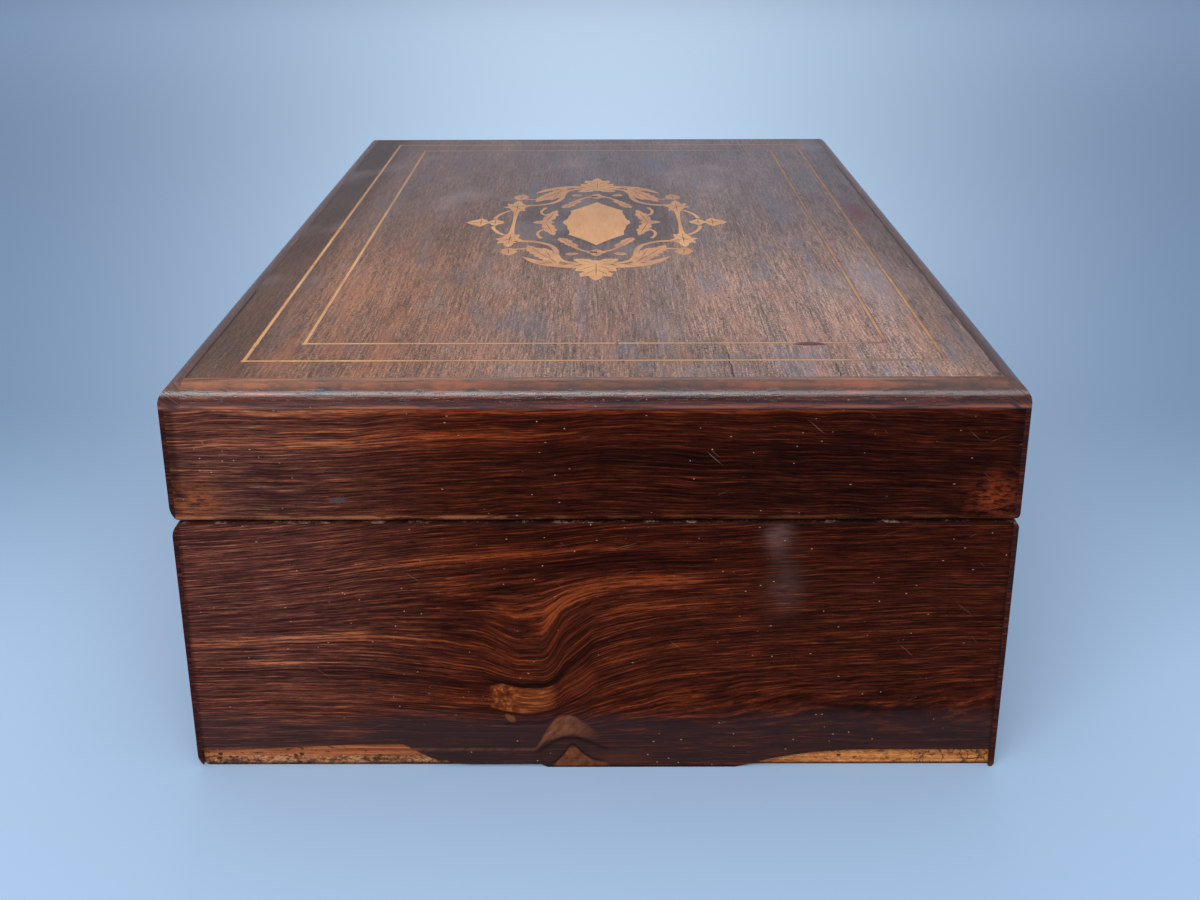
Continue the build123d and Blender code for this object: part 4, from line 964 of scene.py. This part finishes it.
# Screws, slotted, each turned as it was left
head_radius, head_low, head_high = 1.98, 0.36, 0.02
half_slot, half_head_steps = 0.14, 10
turn_apart = 1.13
shank = ((2.0, 0.35), (1.0, 1.1), (1.0, 4.0), (0.85, 6.2), (0.1, 7.0))
hinge_middle, hinge_screw_reach, hinge_line = 95.0, 11.0, 99.8
case_screw_reach, link_screw_reach, lock_line = 26.5, 18.1, -98.4


def draw_screw(shape, x, y, z, up, turn):
    """A countersunk head in two halves beside its slot, on a shank that narrows to its point."""
    turned_solid(shape, (x, y), z, up, shank, 20)
    levels = sorted((z - up * head_low, z - up * head_high))
    for side in (0, pi):
        half = []
        for step in range(half_head_steps + 1):
            angle = half_slot + (pi - 2 * half_slot) * step / half_head_steps + side + turn
            half.append((x + head_radius * cos(angle), y + head_radius * sin(angle)))
        plate(shape, half, *levels)


def draw_screws(level, up, row):
    def draw(shape):
        for index, (x, y) in enumerate(row):
            draw_screw(shape, x, y, level, up, index * turn_apart)

    return draw


reaches = [side * hinge_screw_reach for side in both]
hinge_row = [(side * hinge_middle + reach, hinge_line) for side in both for reach in reaches]
screwed = ("base", base_top, 1, case_screw_reach), ("lid", lid_low, -1, link_screw_reach)
for body, level, up, reach in screwed:
    row = [*hinge_row, (-reach, lock_line), (reach, lock_line)]
    screws = draw_screws(level, up, row)
    piece = make_piece(f"slotted_{body}_screws", screws, [brass], body)
    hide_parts(body + "_screws")


# Cartouche: each motif is drawn at u across and v along the lid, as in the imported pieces
proud = 0.035
layer_rise, layers = 0.0015, 9
engraved_rise = 0.022
lobe_reach, lobe_steps, lobe_roundness, lobe_lean = 1.34, 7, 0.8, 0.42
shoulder_place, waist_place, last_place, fullness = 0.27, 0.68, 0.985, 0.86
leaf_margin, lobe_margin, tip_margin = 0.10, 0.18, 0.15
tendril_margin, shield_margin = 0.16, 0.08
cleft_half, bud_points = 0.3, 14


def across_of(along):
    return Vector((-along.y, along.x)).normalized()


def lobed_leaf(base, tip, width, lobes):
    """An acanthus leaf: rounded lobes that lean towards the tip, cleft down to the sawn leaf."""
    along = tip - base
    across = across_of(along)

    def half_width(t):
        share = 1.0
        if t < shoulder_place:
            share = t / shoulder_place
        elif t > waist_place:
            share = (1 - t) / (1 - waist_place)
        return fullness * width / 2 * max(share, 0.0) + leaf_margin

    def side_points(sign):
        points = []
        for lobe in range(lobes):
            for step in range(lobe_steps):
                share = step / lobe_steps
                bulge = sin(pi * share) ** lobe_roundness
                lean = lobe_lean * share * (1 - share)
                t = min((lobe + share + lean) / lobes, last_place)
                reach = half_width(t) * (1 + (lobe_reach - 1) * bulge) + lobe_margin * bulge
                points.append(base + along * t + across * sign * reach)
        return points

    return [*side_points(1), tip + along.normalized() * tip_margin, *reversed(side_points(-1))]


def band_outline(points, width):
    """A band of even width that follows a line of points, rounded through them."""
    path = smooth_path(points, 5)
    left, right = [], []
    for index, point in enumerate(path):
        along = path[min(index + 1, len(path) - 1)] - path[max(index - 1, 0)]
        across = across_of(along) * (width / 2)
        left.append(point + across)
        right.append(point - across)
    return left + right[::-1]


def smooth_path(points, steps):
    """A curve through every point."""
    path = []
    last = len(points) - 1
    for index in range(last):
        before, start = points[max(index - 1, 0)], points[index]
        end, after = points[index + 1], points[min(index + 2, last)]
        for step in range(steps):
            t = step / steps
            bend = (2 * before - 5 * start + 4 * end - after) * t * t
            twist = (3 * start - before - 3 * end + after) * t * t * t
            path.append((2 * start + (end - before) * t + bend + twist) * 0.5)
    return path + [points[-1]]


def vein(base, tip):
    """The engraved line down a leaf."""
    along = tip - base
    across = across_of(along)
    places = ((0.12, 0.05), (0.5, 0.13), (0.86, 0.0), (0.5, -0.13), (0.12, -0.05))
    return [base + along * t + across * out for t, out in places]


def cleft(root, tip):
    """A dark cut between two lobes, wide at its root."""
    across = across_of(tip - root) * cleft_half
    return [root + across, tip, root - across]


def arc(start, middle, end, steps=8):
    """Points from start to end on the circle through the middle point."""
    a, b, c = start, middle, end
    d = 2 * (a.x * (b.y - c.y) + b.x * (c.y - a.y) + c.x * (a.y - b.y))
    squares = [p.length_squared for p in (a, b, c)]
    ux = (squares[0] * (b.y - c.y) + squares[1] * (c.y - a.y) + squares[2] * (a.y - b.y)) / d
    uy = (squares[0] * (c.x - b.x) + squares[1] * (a.x - c.x) + squares[2] * (b.x - a.x)) / d
    centre = Vector((ux, uy))
    from_centre, to_centre = a - centre, c - centre
    angle = from_centre.angle_signed(to_centre)
    turns = [Matrix.Rotation(-angle * k / steps, 2) for k in range(steps + 1)]
    return [centre + turn @ from_centre for turn in turns]


class Motif:
    """One node of the cartouche: outlines laid on a bmesh a hair above each other. What is drawn
    lies on one side and one end of the cartouche, which can change between outlines."""

    def __init__(self, shape):
        self.shape = shape
        self.laid = 0
        self.side = self.end = 1

    def at(self, side, end):
        self.side, self.end = side, end

    def place(self, *points):
        """Points of the drawing in the lid's X and Y."""
        return [Vector((self.end * v, self.side * u)) for u, v in points]

    def lay(self, outline, material=0):
        self.laid += 1
        top = lid_top + proud + layer_rise * (self.laid % layers)
        plate(self.shape, outline, inlay_low, top, material)

    def engrave(self, outline):
        plate(self.shape, outline, lid_top, lid_top + proud + engraved_rise, 1)

    def leaf(self, base, tip, width, lobes=4):
        ends_at = self.place(base, tip)
        self.lay(lobed_leaf(*ends_at, width, lobes))
        self.engrave(vein(*ends_at))

    def tendril(self, width, *points):
        self.lay(band_outline(self.place(*points), width + tendril_margin))

    def bud(self, middle, radius):
        centre = self.place(middle)[0]
        turns = [k * 2 * pi / bud_points for k in range(bud_points)]
        self.lay([centre + Vector((cos(turn), sin(turn))) * radius for turn in turns])


def draw_shield(motif):
    joints = ((0, 29.2), (9.4, 16.2), (10.0, 8.4), (11.6, 1.6))
    bulges = ((5.0, 21.6), (9.2, 12.2), (10.3, 4.4))
    quarter = []
    for points in zip(joints, bulges, joints[1:]):
        quarter += arc(*[Vector(point) for point in points])[:-1]
    quarter.append(Vector(joints[-1]))
    half = quarter + [Vector((point.x, -point.y)) for point in reversed(quarter)]
    other = [Vector((-point.x, point.y)) for point in reversed(half[1:-1])]
    grown = [point * (1 + shield_margin / point.length) for point in half + other]
    motif.lay([Vector((point.y, point.x)) for point in grown])


def draw_palmettes(motif):
    for end in both:
        for side in both:
            motif.at(side, end)
            motif.leaf((0, 52.5), (6.3, 58.6), 3.8, 2)
            motif.leaf((0, 56.5), (4.6, 64.4), 3.4, 2)
            motif.leaf((0, 50.4), (6.9, 45.6), 4.0, 3)
        motif.leaf((0, 47.0), (0, 68.4), 6.4, 5)


def draw_bars(motif):
    for side in both:
        motif.at(side, 1)
        inside = arc(*motif.place((27.7, -17), (28.3, 0), (27.7, 17)))
        outside = arc(*motif.place((30.1, 17), (29.4, 0), (30.1, -17)))
        motif.lay(inside + outside)
        for end in both:
            motif.at(side, end)
            motif.leaf((28.9, 13.5), (29.0, 31.4), 4.4)
            motif.leaf((24.4, 23.4), (33.8, 21.4), 3.2, 3)
            motif.leaf((25.9, 16.0), (32.8, 27.0), 2.6, 3)
            motif.tendril(1.1, (31.2, 16.5), (33.2, 13.8), (34.9, 9.8), (35.8, 5.8))
            motif.bud((35.7, 6.2), 0.9)


def draw_finials(motif):
    for side in both:
        motif.at(side, 1)
        motif.leaf((32.8, 0), (38.6, 0), 3.4, 2)
        motif.leaf((35.4, -4.4), (35.4, 4.4), 2.8, 3)
        motif.leaf((40.4, -5.6), (40.4, 5.6), 3.4, 3)
        motif.leaf((37.2, 0), (45.4, 0), 6.4, 3)
        motif.bud((34.7, 0), 2.5)
        motif.bud((41.2, 0), 3.0)


def draw_scrolls(motif):
    lower_stem = (26.5, 24.2), (20.6, 25.0), (15.4, 29.2), (13.1, 35.4)
    upper_stem = (12.5, 42.0), (9.6, 48.6), (2.2, 51.4)
    upper_edge = (1.4, 54.75), (8.4, 55.05), (15.7, 52.95), (20.75, 48.5), (23.75, 42.3)
    lower_edge = (19.1, 46.2), (13.9, 49.45), (8.0, 51.25), (1.4, 51.45)
    clefts = ((4.6, 51.6), (7.6, 54.0)), ((9.0, 51.0), (12.6, 53.1)), ((14.0, 49.6), (18.0, 50.4))
    for side, end in [(side, end) for side in both for end in both]:
        motif.at(side, end)
        motif.tendril(1.6, *lower_stem, *upper_stem)
        upper, lower = motif.place(*upper_edge), motif.place(*lower_edge)
        motif.lay(smooth_path(upper, 4) + smooth_path(lower, 4))
        motif.tendril(1.1, (20.0, 34.8), (23.2, 33.5), (27.0, 34.2))
        motif.leaf((12.0, 50.5), (17.2, 39.0), 5.0)
        motif.leaf((14.0, 45.0), (17.2, 32.6), 3.2)
        motif.leaf((14.6, 46.0), (22.6, 29.6), 4.6, 5)
        motif.leaf((28.6, 32.4), (28.0, 41.2), 4.6, 3)
        motif.bud((26.5, 24.2), 1.3)
        for root, tip in clefts:
            motif.engrave(cleft(*motif.place(root, tip)))


def draw_sprigs(motif):
    for side in both:
        for end in both:
            motif.at(side, end)
            motif.tendril(0.9, (16.8, 8.0), (19.3, 11.4), (19.9, 15.8), (18.7, 20.4))
            motif.bud((18.7, 20.2), 0.8)
            motif.leaf((18.2, -1.6), (14.4, 17.2), 3.4)
        motif.leaf((14.6, 0), (22.4, 0), 3.6, 3)


def draw_swags(motif):
    for end in both:
        for side in both:
            motif.at(side, end)
            motif.tendril(1.1, (8.8, 27.6), (7.0, 32.0), (4.2, 35.9), (0, 38.0))
            motif.leaf((12.4, 20.2), (8.0, 28.6), 3.0, 3)
            motif.leaf((10.4, 26.4), (6.0, 31.0), 2.4, 3)
            motif.leaf((9.8, 40.2), (5.6, 39.2), 2.2, 2)
        motif.leaf((0, 34.4), (0, 42.4), 3.4, 3)
        motif.leaf((-3.2, 38.2), (3.2, 38.2), 2.2, 3)


def inlay(draw_motif):
    def draw(shape):
        draw_motif(Motif(shape))

    return draw


boxwood, rubbed_boxwood, mastic = make_boxwood(), make_worn_boxwood(), make_dark_mastic()
bright = [draw_shield, draw_palmettes, draw_bars, draw_finials]
rubbed = [draw_scrolls, draw_sprigs, draw_swags]
for draw_motif in bright + rubbed:
    name = draw_motif.__name__.removeprefix("draw_")
    finishes = [rubbed_boxwood if draw_motif in rubbed else boxwood, mastic]
    piece = make_piece("inlaid_" + name, inlay(draw_motif), finishes, "lid")
    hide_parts("cartouche_" + name)


# The camera, where the photograph was taken from
camera_lens = 39.42
camera_place = Vector((444.25, 2.04, 225.6))
camera_pitch = 0.3168
camera_yaw = -0.0022
camera_roll = -0.0030
camera_shift = -150 / 1200


def make_camera():
    data = bpy.data.cameras.new("camera")
    data.lens = camera_lens
    data.sensor_width = 36.0
    data.shift_y = camera_shift
    level = Vector((-cos(camera_yaw), sin(camera_yaw), 0.0))
    right = Vector((sin(camera_yaw), cos(camera_yaw), 0.0))
    forward = level * cos(camera_pitch) - Vector((0, 0, sin(camera_pitch)))
    down = -Vector((0, 0, cos(camera_pitch))) - level * sin(camera_pitch)
    rolled_right = right * cos(camera_roll) - down * sin(camera_roll)
    rolled_up = -(right * sin(camera_roll) + down * cos(camera_roll))
    turn = Matrix((rolled_right, rolled_up, -forward)).transposed()
    camera = bpy.data.objects.new("camera", data)
    camera.matrix_world = Matrix.Translation(camera_place * MM) @ turn.to_4x4()
    bpy.context.collection.objects.link(camera)
    bpy.context.scene.camera = camera


def make_lamp(name, place, aim, size, power):
    data = bpy.data.lights.new(name, "AREA")
    data.shape = "RECTANGLE"
    data.size, data.size_y = size
    data.energy = power
    lamp = bpy.data.objects.new(name, data)
    lamp.location = place
    lamp.rotation_euler = (Vector(aim) - Vector(place)).to_track_quat("-Z", "Y").to_euler()
    bpy.context.collection.objects.link(lamp)


def make_table():
    """A blue-grey table. Beyond the box it is darker at the sides in painted shade, with a painted
    pool of light.
    """
    reach = 7.0
    mesh = bpy.data.meshes.new("table_top")
    corners = [(-reach, -reach, 0), (reach, -reach, 0), (reach, reach, 0), (-reach, reach, 0)]
    mesh.from_pydata(corners, [], [(0, 1, 2, 3)])
    table = bpy.data.objects.new("table_top", mesh)
    bpy.context.collection.objects.link(table)
    paper = Finish("pale_table")
    x, y = paper.x, paper.y
    mottle = paper.noise(0.002, 0.002, 0.0, 2.0)
    front = paper.ramp(mottle, (0.3, (149, 173, 201)), (0.7, (155, 178, 205)))
    camera_x = 444.0
    # a painted pool of light behind the box, with painted shade at its sides
    painted_light_pool = (y / (abs(x - camera_x) + 1.0)).band(0.0, 0.30)
    far = x.step(-500, -2100)
    beside = paper.mix((104, 128, 157), (148, 176, 210), far)
    lit = paper.mix((186, 207, 228), (206, 226, 246), far)
    paper.tone = paper.mix(paper.mix(beside, lit, painted_light_pool), front, x.step(-110, 140))
    paper.close(0.8, Specular_IOR_Level=0.2)
    mesh.materials.append(paper.material)


def make_light():
    scene = bpy.context.scene
    scene.view_settings.view_transform = "Standard"
    world = bpy.data.worlds.new("studio")
    scene.world = world
    world.use_nodes = True
    background = world.node_tree.nodes["Background"]
    background.inputs["Color"].default_value = colour(206, 216, 230)
    background.inputs["Strength"].default_value = 0.50
    make_lamp("overhead", (0.3, 0.0, 1.7), (0.05, 0, 0), (2.3, 2.3), 19)
    make_lamp("front_window", (1.15, -0.15, 1.0), (0.12, 0, 0.08), (2.0, 0.55), 15.5)
    make_lamp("front_strip", (1.15, -0.40, 1.02), (0.15, -0.05, 0.10), (1.3, 0.09), 4.5)
    make_lamp("background_glow", (-1.45, 0.0, 1.3), (-1.45, 0, 0), (1.6, 1.2), 7)


make_camera()
make_table()
make_light()
